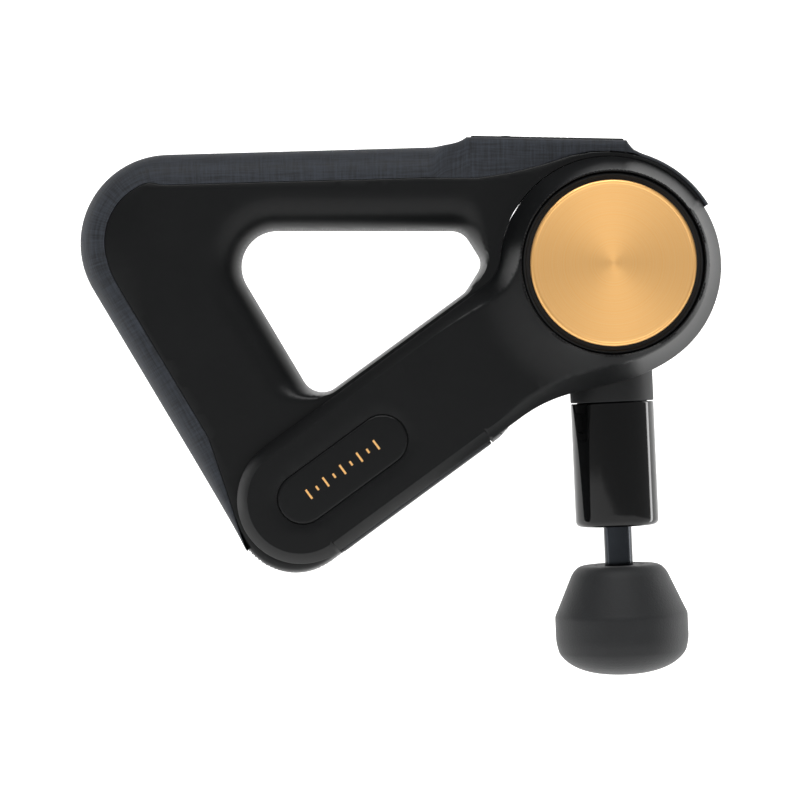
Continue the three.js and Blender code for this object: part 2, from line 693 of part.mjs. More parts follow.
// controls
place('control_bezel', bezel(), 'matteBlack');
place('screen_glass', block(
  [SCREEN_START, -SCREEN_HALF, ROOF + GAP],
  [SCREEN_END, SCREEN_HALF, BEZEL_TOP - 0.9],
), 'glass');
place('display_module', block(
  [SCREEN_START + 1, -SCREEN_HALF + 1, BOARD_AT + 1.4],
  [SCREEN_END - 1, SCREEN_HALF - 1, ROOF],
), 'matteBlack');
place('control_board', block(
  [BEZEL_START + 10, -BEZEL_HALF + 2.4, BOARD_AT],
  [SCREEN_END, BEZEL_HALF - 2.4, BOARD_AT + 1.1],
), 'board');
for (const [name, [x, y, radius]] of Object.entries(KEYS)) {
  place(name, lathe([
    [0, BOARD_AT + 1.4 + BUTTON_TRAVEL],
    [radius, BOARD_AT + 1.4 + BUTTON_TRAVEL],
    [radius, BEZEL_TOP],
    [radius - 0.5, BEZEL_TOP + 0.4],
    [0, BEZEL_TOP + 0.5],
  ], SMALL).rotateX(Math.PI / 2).translate(KEYS_AT + x, y, 0), 'matteBlack');
}

// swivelling head: drum, collar, sleeve and motor
const PORT_R = PLUNGER_R + 1.1; // the plunger's hole through the drum
for (const [name, side] of [['front', -1], ['rear', 1]]) {
  place(`${name}_drum`, cut(
    solid(lathe([
      [0, side * GAP / 2],
      [DRUM_R, side * GAP / 2],
      [DRUM_R, side * BODY_FACE],
      [HUB_R, side * BODY_FACE],
      [HUB_R, side * HUB_FACE],
      [0, side * HUB_FACE],
    ], FINE)),
    solid(ringY(DRUM_R - 2.8, 0, -side, side * (BODY_FACE - WALL), FINE)),
    solid(ringY(CAVITY_R, 0, -side, side * (HUB_FACE - 2), FINE)),
    solid(ringY(5, 0, 0, side * 2 * HUB_FACE, SMALL)),
    solid(ringDown(PORT_R, 0, DRUM_R / 2, 2 * DRUM_R, SMALL)),
  ), 'satinBlack', head);
  place(`${name}_snap_ring`,
    ringY(HUB_R + 3, HUB_R + SNAP, side * (HUB_FACE - 2.4), side * (HUB_FACE - 1.4), MEDIUM), 'steel', head);
}
place('snout_collar', cut(
  solid(ringDown(SNOUT_R, PLUNGER_R + 2.5, DRUM_R - 8, COLLAR_END)),
  solid(ringY(DRUM_R + GAP, 0, -2 * SNOUT_R, 2 * SNOUT_R, FINE)),
), 'matteBlack', head);
place('snout_sleeve', latheDown([
  [SNOUT_R - SLEEVE_WALL, COLLAR_END + GAP],
  [SNOUT_R, COLLAR_END + GAP],
  [SNOUT_R, SLEEVE_END - 2],
  [SNOUT_R - 0.6, SLEEVE_END - 0.6],
  [SNOUT_R - 2, SLEEVE_END],
  [PLUNGER_R + 3, SLEEVE_END],
  [PLUNGER_R + 3, SLEEVE_END - 3.4],
  [SNOUT_R - SLEEVE_WALL, SLEEVE_END - 3.4],
], MEDIUM), 'glossBlack', head);
place('guide_bush', latheDown([
  [PLUNGER_R + RUNNING, COLLAR_END + 2],
  [SNOUT_R - SLEEVE_WALL - GAP, COLLAR_END + 2],
  [SNOUT_R - SLEEVE_WALL - GAP, COLLAR_END + 7],
  [PLUNGER_R + 3.5, COLLAR_END + 7],
  [PLUNGER_R + 3.5, SLEEVE_END - 9],
  [PLUNGER_R + RUNNING, SLEEVE_END - 9],
], MEDIUM), 'bronze', head);
place('rod_seal', ringDown(PLUNGER_R + 2.7, PLUNGER_R + RUNNING, SLEEVE_END - 3, SLEEVE_END - 0.6, MEDIUM),
  'matteBlack', head);

const CRANK_AT = ROD_THICK / 2 + 0.8; // start of the crank web along Y
const BELL_AT = CRANK_AT + CRANK_THICK + 0.8;
const STATOR_AT = BELL_AT + 2.2;
const MOUNT_AT = STATOR_AT + STATOR_LENGTH + GAP;
const SLEEVE_BORE = SHAFT_R + 3.6;
const statorTeeth = () => {
  const teeth = [];
  const count = 9;
  for (let i = 0; i < count; i += 1) {
    const tooth = block(
      [SLEEVE_BORE + 4, STATOR_AT + 1, -2.6],
      [STATOR_R - 1, STATOR_AT + STATOR_LENGTH - 1, 2.6],
    );
    teeth.push(solid(tooth.rotateY((i / count) * 2 * Math.PI)));
  }
  return teeth;
};
place('motor_stator', join(
  solid(ringY(SLEEVE_BORE + 5, SLEEVE_BORE + 2, STATOR_AT, STATOR_AT + STATOR_LENGTH)),
  ...statorTeeth(),
), 'copper', head);
place('motor_mount', lathe([
  [SLEEVE_BORE, BELL_AT + 3],
  [SLEEVE_BORE + 1.7, BELL_AT + 3],
  [SLEEVE_BORE + 1.7, MOUNT_AT],
  [CAVITY_R - GAP, MOUNT_AT],
  [CAVITY_R - GAP, MOUNT_AT + 1.6],
  [SLEEVE_BORE, MOUNT_AT + 1.6],
], MEDIUM), 'aluminium', head);
place('motor_bearing',
  ringY(SLEEVE_BORE - GAP, SHAFT_R + RUNNING, STATOR_AT + 1, STATOR_AT + 6), 'steel', head);
place('driver_board', cut(
  solid(ringY(CAVITY_R - 2, 0, -HUB_FACE + 6, -HUB_FACE + 7.6)),
  solid(ringY(5, 0, -2 * HUB_FACE, 0, SMALL)),
), 'board', head);

// rotor: bell, shaft, crank with its counterweight, and pin
place('rotor_bell', lathe([
  [SHAFT_R + GAP, BELL_AT],
  [STATOR_R + 2.9, BELL_AT],
  [STATOR_R + 2.9, STATOR_AT + STATOR_LENGTH - 1],
  [STATOR_R + 0.9, STATOR_AT + STATOR_LENGTH - 1],
  [STATOR_R + 0.9, BELL_AT + 1.4],
  [SHAFT_R + GAP, BELL_AT + 1.4],
], MEDIUM), 'aluminium', head);
place('rotor_shaft', ringY(SHAFT_R, 0, BELL_AT - 0.5, MOUNT_AT + 1, MEDIUM), 'steel', head);
const crankEnd = new THREE.Shape();
crankEnd.absarc(STROKE / 2, 0, 4.4, -Math.PI / 2, Math.PI / 2, false);
crankEnd.lineTo(0, 7);
crankEnd.absarc(0, 0, COUNTERWEIGHT_R, 110 * DEG, 250 * DEG, false);
crankEnd.lineTo(0, -7);
crankEnd.closePath();
place('crank_web', cut(
  solid(slab(crankEnd, CRANK_AT, CRANK_AT + CRANK_THICK - 0.8)),
  solid(peg({ x: STROKE / 2, z: 0 }, SHAFT_R - 0.5 + GAP, -HUB_FACE, HUB_FACE)),
), 'steel', head);
place('crank_pin', peg({ x: STROKE / 2, z: 0 }, SHAFT_R - 0.5, CRANK_AT - 0.4, CRANK_AT + CRANK_THICK - 0.8),
  'steel', head);

// plunger and connecting rod
const CLEVIS_R = PLUNGER_R;
const clevisTop = WRIST_AT - CLEVIS_R + 0.5;
place('plunger_shaft', cut(
  solid(latheDown([
    [0, clevisTop],
    [PLUNGER_R - 0.6, clevisTop],
    [PLUNGER_R, clevisTop + 0.6],
    [PLUNGER_R, PLUNGER_END - 1],
    [PLUNGER_R - 1, PLUNGER_END],
    [0, PLUNGER_END],
  ])),
  solid(block(
    [-2 * PLUNGER_R, -ROD_THICK / 2 - GAP, -WRIST_AT - 6],
    [2 * PLUNGER_R, ROD_THICK / 2 + GAP, -clevisTop + 1],
  )),
  solid(peg({ x: 0, z: -WRIST_AT }, WRIST_R + GAP / 2, -2 * PLUNGER_R, 2 * PLUNGER_R)),
), 'blackSteel', head);
place('wrist_pin',
  peg({ x: 0, z: -WRIST_AT }, WRIST_R, -PLUNGER_R + 0.7, PLUNGER_R - 0.7, MEDIUM), 'steel', head);
const rodGroup = new THREE.Group();
rodGroup.position.set(0, 0, -WRIST_AT);
rodGroup.rotation.y = ROD_ANGLE;
head.add(rodGroup);
const rodBig = { x: 0, z: ROD_LENGTH };
place('connecting_rod', cut(
  join(
    solid(peg({ x: 0, z: 0 }, WRIST_R + 2.2, -ROD_THICK / 2, ROD_THICK / 2, SMALL)),
    solid(peg(rodBig, 7.2, -ROD_THICK / 2, ROD_THICK / 2, MEDIUM)),
    solid(block([-2.6, -ROD_THICK / 2 + 0.8, 0], [2.6, ROD_THICK / 2 - 0.8, ROD_LENGTH])),
  ),
  solid(peg({ x: 0, z: 0 }, WRIST_R + RUNNING, -ROD_THICK, ROD_THICK, MEDIUM)),
  solid(peg(rodBig, 5.2, -ROD_THICK, ROD_THICK, MEDIUM)),
), 'steel', rodGroup);
place('rod_bearing',
  ringY(4.9, SHAFT_R, -ROD_THICK / 2, ROD_THICK / 2).translate(0, 0, ROD_LENGTH), 'bronze', rodGroup);

// attachment
place('foam_head', foamHead(), 'foam', head);
place('attachment_socket', latheDown([
  [PLUNGER_R + SNAP, FOAM_TOP + 0.2],
  [SOCKET_R, FOAM_TOP + 0.2],
  [SOCKET_R, PLUNGER_END + 2.7],
  [0, PLUNGER_END + 2.7],
  [0, PLUNGER_END + GAP],
  [PLUNGER_R + SNAP, PLUNGER_END + GAP],
]), 'matteBlack', head);

// arm lock
place('arm_lock_button', lathe([
  [0, RING_FACE - 0.6],
  [DISC_R - 1, RING_FACE - 0.4],
  [DISC_R, RING_FACE - 1],
  [DISC_R, HUB_FACE + LOCK_TRAVEL + 1],
  [DISC_R - 2, HUB_FACE + LOCK_TRAVEL + 1],
  [DISC_R - 2, RING_FACE - 3],
  [4.4, RING_FACE - 3],
  [4.4, HUB_FACE - 3],
  [0, HUB_FACE - 3],
], FINE), 'gold');
place('lock_spring', ringY(12, 9.5, HUB_FACE + GAP, RING_FACE - 3.3, MEDIUM), 'steel');

// battery pack
place('battery_case', packCase(), 'satinBlack', arm);
place('battery_skin', block(
  [PACK_START + 0.4, -BODY_FACE, SKIN_AT],
  [PACK_END - 0.4, BODY_FACE, ARM_BELOW],
), 'grip', arm);
CELL_PLACES.forEach((spot, i) => {
  place(`cell_${i + 1}`, cellGeometry(CELL_R, PACK_START + 2.8, PACK_START + 2.8 + CELL_LENGTH, spot),
    'cellWrap', arm);
});
place('terminal_plate', block(
  [PACK_START + 0.2, -PACK_HALF + 1.6, PACK_BASE + 1.6],
  [PACK_START + 2, PACK_HALF - 1.6, SHOULDER - 1.6],
), 'board', arm);
place('charging_inlet', block(
  [PACK_END - 3, -BODY_FACE / 2, GAP],
  [PACK_END - 0.2, -BODY_FACE / 2 + 9, 4],
), 'matteBlack', arm);
place('battery_release', block(
  [RELEASE_AT - RELEASE_HALF, -RELEASE_HALF - 2, ARM_BELOW - RELEASE_DEEP],
  [RELEASE_AT + RELEASE_HALF, RELEASE_HALF + 2, ARM_BELOW + 0.4],
), 'matteBlack', arm);

// the origin is the middle of the grip bar, where a hand holds it
const gripMiddle = BEZEL_START - (LEG_OUT - CORNER_TOP_R + BEZEL_START) / 2;
group.position.set(-Math.round(gripMiddle), 0, -Math.round(barMid));
group.updateMatrixWorld(true);

export default group;
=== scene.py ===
"""Looks of a percussive massage gun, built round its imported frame.

Every length is in millimetres in the head's own frame: its origin is the head's centre, X runs to
the right, Z up and the front side faces -Y. Meshes are written in metres in the row frame.
"""

import json
import logging
import math
from collections.abc import Callable, Sequence
from dataclasses import dataclass, field
from enum import Enum

import bmesh
import bpy
import numpy as np
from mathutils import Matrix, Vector
from mathutils.geometry import delaunay_2d_cdt


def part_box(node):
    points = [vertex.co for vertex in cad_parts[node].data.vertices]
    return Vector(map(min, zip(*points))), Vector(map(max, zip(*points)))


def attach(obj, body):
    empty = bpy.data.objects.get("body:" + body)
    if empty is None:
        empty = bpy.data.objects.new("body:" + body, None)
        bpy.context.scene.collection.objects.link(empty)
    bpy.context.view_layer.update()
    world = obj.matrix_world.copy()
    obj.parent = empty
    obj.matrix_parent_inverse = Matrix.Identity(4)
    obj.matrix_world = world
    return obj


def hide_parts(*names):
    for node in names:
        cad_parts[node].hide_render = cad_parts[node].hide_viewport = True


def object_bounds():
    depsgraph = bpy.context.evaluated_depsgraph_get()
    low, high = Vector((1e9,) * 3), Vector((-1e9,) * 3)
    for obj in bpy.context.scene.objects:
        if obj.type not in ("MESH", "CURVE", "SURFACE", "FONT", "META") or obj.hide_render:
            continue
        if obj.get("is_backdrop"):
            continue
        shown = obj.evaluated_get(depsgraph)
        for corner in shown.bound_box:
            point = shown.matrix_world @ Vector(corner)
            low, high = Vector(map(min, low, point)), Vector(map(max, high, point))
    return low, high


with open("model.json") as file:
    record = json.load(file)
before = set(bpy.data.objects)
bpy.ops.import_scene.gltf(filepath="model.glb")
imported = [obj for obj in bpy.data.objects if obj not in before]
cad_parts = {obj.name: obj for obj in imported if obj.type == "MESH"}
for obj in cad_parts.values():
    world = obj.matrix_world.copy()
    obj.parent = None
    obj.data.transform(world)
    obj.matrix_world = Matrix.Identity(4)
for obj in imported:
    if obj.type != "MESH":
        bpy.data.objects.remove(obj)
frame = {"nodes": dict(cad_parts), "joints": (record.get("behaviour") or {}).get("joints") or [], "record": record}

LOG = logging.getLogger("massage_gun")
MM = 0.001
DEG = math.pi / 180
Points = np.ndarray
Placer = Callable[[Points], Points]


def joint(name: str) -> dict:
    """The record's joint of that name."""
    return next(row for row in frame["joints"] if row["name"] == name)


def extent(node: str, axis: int) -> tuple[float, float]:
    """Lowest and highest place of a CAD node along one axis.

    Args:
        node: The CAD node's name.
        axis: 0 for X, 1 for Y, 2 for Z.

    Returns:
        The two places in the head's frame, in millimetres.
    """
    low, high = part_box(node)
    return (low[axis] - HEAD[axis]) / MM, (high[axis] - HEAD[axis]) / MM


HEAD = np.array(joint("arm_swivel")["pos_m"], float)
SNOUT_AXIS = np.array(joint("plunger_slide")["axis"], float)
SNOUT_LEAN = math.atan2(SNOUT_AXIS[0], -SNOUT_AXIS[2])
PULL_AXIS = np.array(joint("battery_slide")["axis"], float)
ARM_TURN = math.atan2(PULL_AXIS[0], PULL_AXIS[2])
ARM_SLOPE = 180 - ARM_TURN / DEG

# Outer sizes shared by several pieces; they repeat the CAD's own.
BODY_FACE = extent("battery_skin", 1)[1]
WINDOW_R = 42.4
DRUM_R = 41.8
HOOD_R = 46.0
HOOD_END = 31.8
BAR_SLOPE = 1.6
BAR_TOP = 49.0
BAR_UNDER = 14.3
LEG_ANGLE = 210.8
LEG_OUT = 177.4
LEG_IN = 124.8
ARM_ABOVE = 25.0
ARM_BELOW = 28.9
ARM_FACE = 26.0
RING_FACE = extent("rear_cover", 1)[1]
RING_BORE_R = 34.8
COVER_END = 150.0
GRIP = 1.9
SNOUT_R = 16.3

# A shallow dip in the underside before the battery, which the CAD's plainer body leaves out.
DIP_DEEP = 3.0
DIP_START = 60.0
DIP_LENGTH = 15.0


# ---- flat outlines --------------------------------------------------------------------------
@dataclass(frozen=True)
class Corner:
    """A corner of an outline with the radius that rounds it."""

    x: float
    z: float
    r: float = 0.0


def meet(first: tuple[float, float], second: tuple[float, float], radius: float = 0.0) -> Corner:
    """The corner where two edges meet.

    Args:
        first: The way one edge faces, in degrees, and its distance from the origin.
        second: The same for the other edge.
        radius: The corner's rounding.

    Returns:
        The corner.
    """
    ax, az = math.cos(first[0] * DEG), math.sin(first[0] * DEG)
    bx, bz = math.cos(second[0] * DEG), math.sin(second[0] * DEG)
    scale = ax * bz - az * bx
    return Corner((first[1] * bz - second[1] * az) / scale, (ax * second[1] - bx * first[1]) / scale, radius)


def grown(corners: Sequence[Corner], amount: float) -> list[Corner]:
    """Moves every edge of a counter-clockwise outline outward.

    Args:
        corners: The outline.
        amount: How far; negative moves inward.

    Returns:
        The moved outline, its roundings grown with it.
    """
    edges = []
    for here, after in zip(corners, [*corners[1:], corners[0]]):
        length = math.hypot(after.x - here.x, after.z - here.z)
        nx, nz = (after.z - here.z) / length, -(after.x - here.x) / length
        edges.append((math.atan2(nz, nx) / DEG, nx * here.x + nz * here.z + amount))
    moved = []
    for i, corner in enumerate(corners):
        radius = max(corner.r + amount, 0.5) if corner.r > 0 else 0.0
        moved.append(meet(edges[i - 1], edges[i], radius))
    return moved


def rounded(corners: Sequence[Corner], step: float = 1.6) -> Points:
    """A closed outline as points, with its corners rounded.

    Args:
        corners: The outline's corners, counter-clockwise.
        step: The spacing of points along arcs and edges.

    Returns:
        The points, one row each.
    """
    outline: list[tuple[float, float]] = []
    for i, corner in enumerate(corners):
        here = np.array([corner.x, corner.z])
        before, after = corners[i - 1], corners[(i + 1) % len(corners)]
        back = np.array([before.x, before.z]) - here
        on = np.array([after.x, after.z]) - here
        back, on = back / np.linalg.norm(back), on / np.linalg.norm(on)
        if corner.r == 0:
            outline.append(tuple(here))
            continue
        half = math.acos(max(-1.0, min(1.0, float(back @ on)))) / 2
        reach = corner.r / math.tan(half)
        middle = here + (back + on) / np.linalg.norm(back + on) * corner.r / math.sin(half)
        start, end = here + back * reach - middle, here + on * reach - middle
        first, last = math.atan2(start[1], start[0]), math.atan2(end[1], end[0])
        turn = (last - first) % (2 * math.pi)
        if turn > math.pi:
            turn -= 2 * math.pi
        count = max(3, int(abs(turn) * corner.r / step) + 1)
        for t in np.linspace(0, 1, count + 1):
            angle = first + turn * t
            outline.append((middle[0] + corner.r * math.cos(angle), middle[1] + corner.r * math.sin(angle)))
    return spaced(np.array(outline), step)


def spaced(loop: Points, step: float) -> Points:
    """Adds points along a closed outline's long edges, no more than a step apart."""
    made = []
    for here, after in zip(loop, np.roll(loop, -1, axis=0)):
        count = max(1, math.ceil(np.linalg.norm(after - here) / step))
        made += [here + (after - here) * k / count for k in range(count)]
    return np.array(made)


def circle(radius: float, count: int, x: float = 0.0, z: float = 0.0) -> Points:
    """Points round a circle about (x, z)."""
    angles = np.arange(count) * 2 * math.pi / count
    return np.stack([x + radius * np.cos(angles), z + radius * np.sin(angles)], 1)


def pill(start: float, end: float, radius: float, count: int = 24) -> Points:
    """A slot's outline along the first axis, from one end's centre to the other's."""
    angles = np.linspace(-math.pi / 2, math.pi / 2, count)
    right = np.stack([end + radius * np.cos(angles), radius * np.sin(angles)], 1)
    left = np.stack([start - radius * np.cos(angles), -radius * np.sin(angles)], 1)
    return spaced(np.concatenate([right, left]), 1.6)


def inside(points: Points, loop: Points) -> np.ndarray:
    """Which points lie inside a closed outline."""
    found = np.zeros(len(points), bool)
    for (ax, az), (bx, bz) in zip(loop, np.roll(loop, -1, axis=0)):
        if az == bz:
            continue
        crosses = (az > points[:, 1]) != (bz > points[:, 1])
        at = ax + (points[:, 1] - az) * (bx - ax) / (bz - az)
        found ^= crosses & (points[:, 0] < at)
    return found


def depth(points: Points, loop: Points) -> np.ndarray:
    """Distance of each point from a closed outline, positive inside it."""
    start, run = loop, np.roll(loop, -1, axis=0) - loop
    square = np.maximum((run**2).sum(1), 1e-12)
    nearest = np.empty(len(points))
    for first in range(0, len(points), 2000):
        part = points[first : first + 2000, None, :] - start[None]
        along = np.clip((part * run[None]).sum(2) / square, 0, 1)
        gap = part - along[..., None] * run[None]
        nearest[first : first + 2000] = np.sqrt((gap**2).sum(2).min(1))
    return np.where(inside(points, loop), nearest, -nearest)


def moved_in(loop: Points, amount: float) -> Points:
    """A counter-clockwise outline moved inward along its own normals."""
    run = np.roll(loop, -1, axis=0) - np.roll(loop, 1, axis=0)
    run /= np.linalg.norm(run, axis=1)[:, None]
    return loop + np.stack([-run[:, 1], run[:, 0]], 1) * amount


def arm_place(along: float, below: float, radius: float = 0.0) -> Corner:
    """A corner from arm distances: along the arm, and from its centre line to its underside."""
    return Corner(
        along * math.cos(ARM_TURN) + below * math.sin(ARM_TURN),
        -along * math.sin(ARM_TURN) + below * math.cos(ARM_TURN),
        radius,
    )


def arm_distances(points: Points) -> tuple[np.ndarray, np.ndarray]:
    """Distances along the arm and below its centre line, for points of the XZ plane."""
    along = points[:, 0] * math.cos(ARM_TURN) - points[:, 1] * math.sin(ARM_TURN)
    below = points[:, 0] * math.sin(ARM_TURN) + points[:, 1] * math.cos(ARM_TURN)
    return along, below


def from_arm(points: Points) -> Points:
    """The XZ points of rows of (along the arm, below its centre line)."""
    return np.array([(c.x, c.z) for c in (arm_place(a, b) for a, b in points)])


def crown(share: np.ndarray, power: float) -> np.ndarray:
    """A rounded edge's height, 0 at the edge and 1 from a share of 1 on."""
    t = np.clip(share, 0, 1)
    return (1 - (1 - t) ** power) ** (1 / power)


def eased(share: np.ndarray) -> np.ndarray:
    """A smooth step from 0 to 1."""
    t = np.clip(share, 0, 1)
    return t * t * (3 - 2 * t)


def underside(along: np.ndarray) -> np.ndarray:
    """The underside's distance from the arm's centre line, dipping before the release."""
    return ARM_BELOW - DIP_DEEP * (1 - eased((along - DIP_START) / DIP_LENGTH))


# ---- meshes -----------------------------------------------------------------------------------
def on_side(side: int) -> Placer:
    """Places (x, z, height) rows on the front (side -1) or rear (side 1) of the handle."""

    def place(rows: Points) -> Points:
        """Turns the rows' height out of the chosen side."""
        return np.stack([rows[:, 0], side * rows[:, 2], rows[:, 1]], 1)

    return place


def along_snout(rows: Points) -> Points:
    """Turns rows drawn round a straight-down snout into the head's frame."""
    c, s = math.cos(-SNOUT_LEAN), math.sin(-SNOUT_LEAN)
    return np.stack([rows[:, 0] * c + rows[:, 2] * s, rows[:, 1], -rows[:, 0] * s + rows[:, 2] * c], 1)


def make_object(
    name: str,
    vertices: Points,
    faces: Sequence[Sequence[int]],
    crease: float = 38.0,
    uv: np.ndarray | None = None,
) -> bpy.types.Object:
    """Makes a piece's object, with smooth shading split at sharp edges.

    Args:
        name: The piece's name.
        vertices: Its points in millimetres in the head's frame.
        faces: Its faces as rows of point numbers.
        crease: Edges that turn by more than this many degrees look sharp.
        uv: A texture place for each point, in metres.

    Returns:
        The object, at the origin of the row frame.
    """
    mesh = bpy.data.meshes.new(name)
    mesh.from_pydata((vertices * MM + HEAD).tolist(), [], [list(map(int, f)) for f in faces])
    if uv is not None:
        layer = mesh.uv_layers.new(name="surface")
        corners = np.empty(len(mesh.loops), np.int32)
        mesh.loops.foreach_get("vertex_index", corners)
        layer.data.foreach_set("uv", uv[corners].astype(np.float32).ravel())
    cleaned = bmesh.new()
    cleaned.from_mesh(mesh)
    bmesh.ops.remove_doubles(cleaned, verts=cleaned.verts, dist=2e-6)
    bmesh.ops.dissolve_degenerate(cleaned, edges=cleaned.edges, dist=1e-7)
    bmesh.ops.recalc_face_normals(cleaned, faces=cleaned.faces)
    if cleaned.calc_volume(signed=True) < 0:
        bmesh.ops.reverse_faces(cleaned, faces=cleaned.faces)
    cleaned.to_mesh(mesh)
    cleaned.free()
    mesh.shade_smooth()
    mesh.set_sharp_from_angle(angle=crease * DEG)
    made = bpy.data.objects.new(name, mesh)
    bpy.context.scene.collection.objects.link(made)
    return made


def raised(
    name: str,
    lines: Sequence[Points],
    inner: Points,
    keep: Callable[[Points], np.ndarray],
    top: Callable[[Points], np.ndarray],
    base: Callable[[Points], np.ndarray],
    place: Placer,
    closed: Sequence[bool] | None = None,
) -> bpy.types.Object:
    """A closed piece between two height fields over a flat region.

    Args:
        name: The piece's name.
        lines: Lines that triangle edges follow; the region's borders are among them.
        inner: Loose points inside the region.
        keep: Says which places belong to the region.
        top: The upper height at each place.
        base: The lower height at each place.
        place: Turns (a, b, height) rows into the head's frame.
        closed: Whether each line closes on itself; all do where this is left out.

    Returns:
        The piece.
    """
    spots, edges = [], []
    for i, line in enumerate(lines):
        start, loops = len(spots), closed is None or closed[i]
        spots += [Vector(p) for p in line.tolist()]
        count = len(line) if loops else len(line) - 1
        edges += [(start + k, start + (k + 1) % len(line)) for k in range(count)]
    spots += [Vector(p) for p in inner.tolist()]
    found, _, faces, *_ = delaunay_2d_cdt(spots, edges, [], 0, 1e-4)
    flat = np.array([(p.x, p.y) for p in found])
    triangles = np.array([f for f in faces if len(f) == 3])
    triangles = triangles[keep(flat[triangles].mean(1))]
    used, triangles = np.unique(triangles, return_inverse=True)
    triangles = triangles.reshape(-1, 3)
    flat = flat[used]
    upper, lower = top(flat), base(flat)
    lower = np.minimum(lower, upper)
    count = len(flat)
    rows = np.concatenate([np.column_stack([flat, upper]), np.column_stack([flat, lower])])
    sides = np.concatenate([triangles[:, [0, 1]], triangles[:, [1, 2]], triangles[:, [2, 0]]])
    known = {(a, b) for a, b in sides.tolist()}
    border = [(a, b) for a, b in known if (b, a) not in known]
    walls = [(b, a, a + count, b + count) for a, b in sorted(border)]
    lower_faces = (triangles[:, ::-1] + count).tolist()
    return make_object(name, place(rows), [*triangles.tolist(), *lower_faces, *walls])


def thinned(points: Points, others: Points, gap: float) -> Points:
    """The points that keep a gap from some others."""
    kept = np.ones(len(points), bool)
    for first in range(0, len(points), 2000):
        part = points[first : first + 2000, None, :] - others[None]
        kept[first : first + 2000] = (part**2).sum(2).min(1) > gap**2
    return points[kept]


def grid(low: tuple[float, float], high: tuple[float, float], step: float) -> Points:
    """A staggered grid of points over a rectangle."""
    rows = []
    for i, z in enumerate(np.arange(low[1], high[1], step * 0.87)):
        x = np.arange(low[0] + (i % 2) * step / 2, high[0], step)
        rows.append(np.stack([x, np.full_like(x, z)], 1))
    return np.concatenate(rows)


def softened(profile: Sequence[tuple[float, float, float]], steps: int = 5) -> Points:
    """A profile with its corners rounded.

    Args:
        profile: Rows of (radius, height, rounding).
        steps: Points in each rounding.

    Returns:
        The profile's points.
    """
    rows = np.array(profile, float)
    made = []
    for i, (r, y, bend) in enumerate(rows):
        here = np.array([r, y])
        if bend == 0 or i in (0, len(rows) - 1):
            made.append(here)
            continue
        back, on = rows[i - 1, :2] - here, rows[i + 1, :2] - here
        reach = min(bend, np.linalg.norm(back) / 2, np.linalg.norm(on) / 2)
        start = here + back / np.linalg.norm(back) * reach
        end = here + on / np.linalg.norm(on) * reach
        for t in np.linspace(0, 1, steps + 1):
            made.append((1 - t) ** 2 * start + 2 * t * (1 - t) * here + t * t * end)
    return np.array(made)


def turned(
    name: str,
    profile: Points,
    sides: int,
    place: Placer,
    closed: bool = False,
    crease: float = 38.0,
) -> bpy.types.Object:
    """A turned piece about the Y axis.

    Args:
        name: The piece's name.
        profile: Rows of (radius, height along Y).
        sides: Points round the axis.
        place: Turns the drawn rows into the head's frame.
        closed: Whether the profile closes on itself off the axis.
        crease: Edges sharper than this look sharp, in degrees.

    Returns:
        The piece.
    """
    angles = np.arange(sides) * 2 * math.pi / sides
    rows, faces = [], []
    for r, y in profile:
        rows += [(r * math.cos(a), y, r * math.sin(a)) for a in angles]
    count = len(profile)
    for i in range(count if closed else count - 1):
        j = (i + 1) % count
        for k in range(sides):
            m = (k + 1) % sides
            faces.append((i * sides + k, i * sides + m, j * sides + m, j * sides + k))
    return make_object(name, place(np.array(rows)), faces, crease)


def down_snout(rows: Points) -> Points:
    """Stands a piece turned about Y on the snout, its heights running down from the head."""
    return along_snout(np.stack([rows[:, 0], rows[:, 2], -rows[:, 1]], 1))


def as_drawn(rows: Points) -> Points:
    """Leaves rows where they are."""
    return rows


# ---- finishes ----------------------------------------------------------------------------------
def linear(hex_colour: str) -> tuple[float, float, float, float]:
    """An sRGB hex colour as linear RGBA."""
    parts = [int(hex_colour[i : i + 2], 16) / 255 for i in (1, 3, 5)]
    lit = [p / 12.92 if p <= 0.04045 else ((p + 0.055) / 1.055) ** 2.4 for p in parts]
    return (*lit, 1.0)


def add(tree: bpy.types.NodeTree, kind: str, links: dict | None = None, **settings) -> bpy.types.Node:
    """Adds a node with its settings, input values and links.

    Args:
        tree: The tree that takes the node.
        kind: The node's type.
        links: Values or sockets for its inputs, by name or number.
        settings: The node's own properties.

    Returns:
        The node.
    """
    made = tree.nodes.new(kind)
    for key, value in settings.items():
        setattr(made, key, value)
    for key, value in (links or {}).items():
        if isinstance(value, bpy.types.NodeSocket):
            tree.links.new(value, made.inputs[key])
        else:
            made.inputs[key].default_value = value
    return made


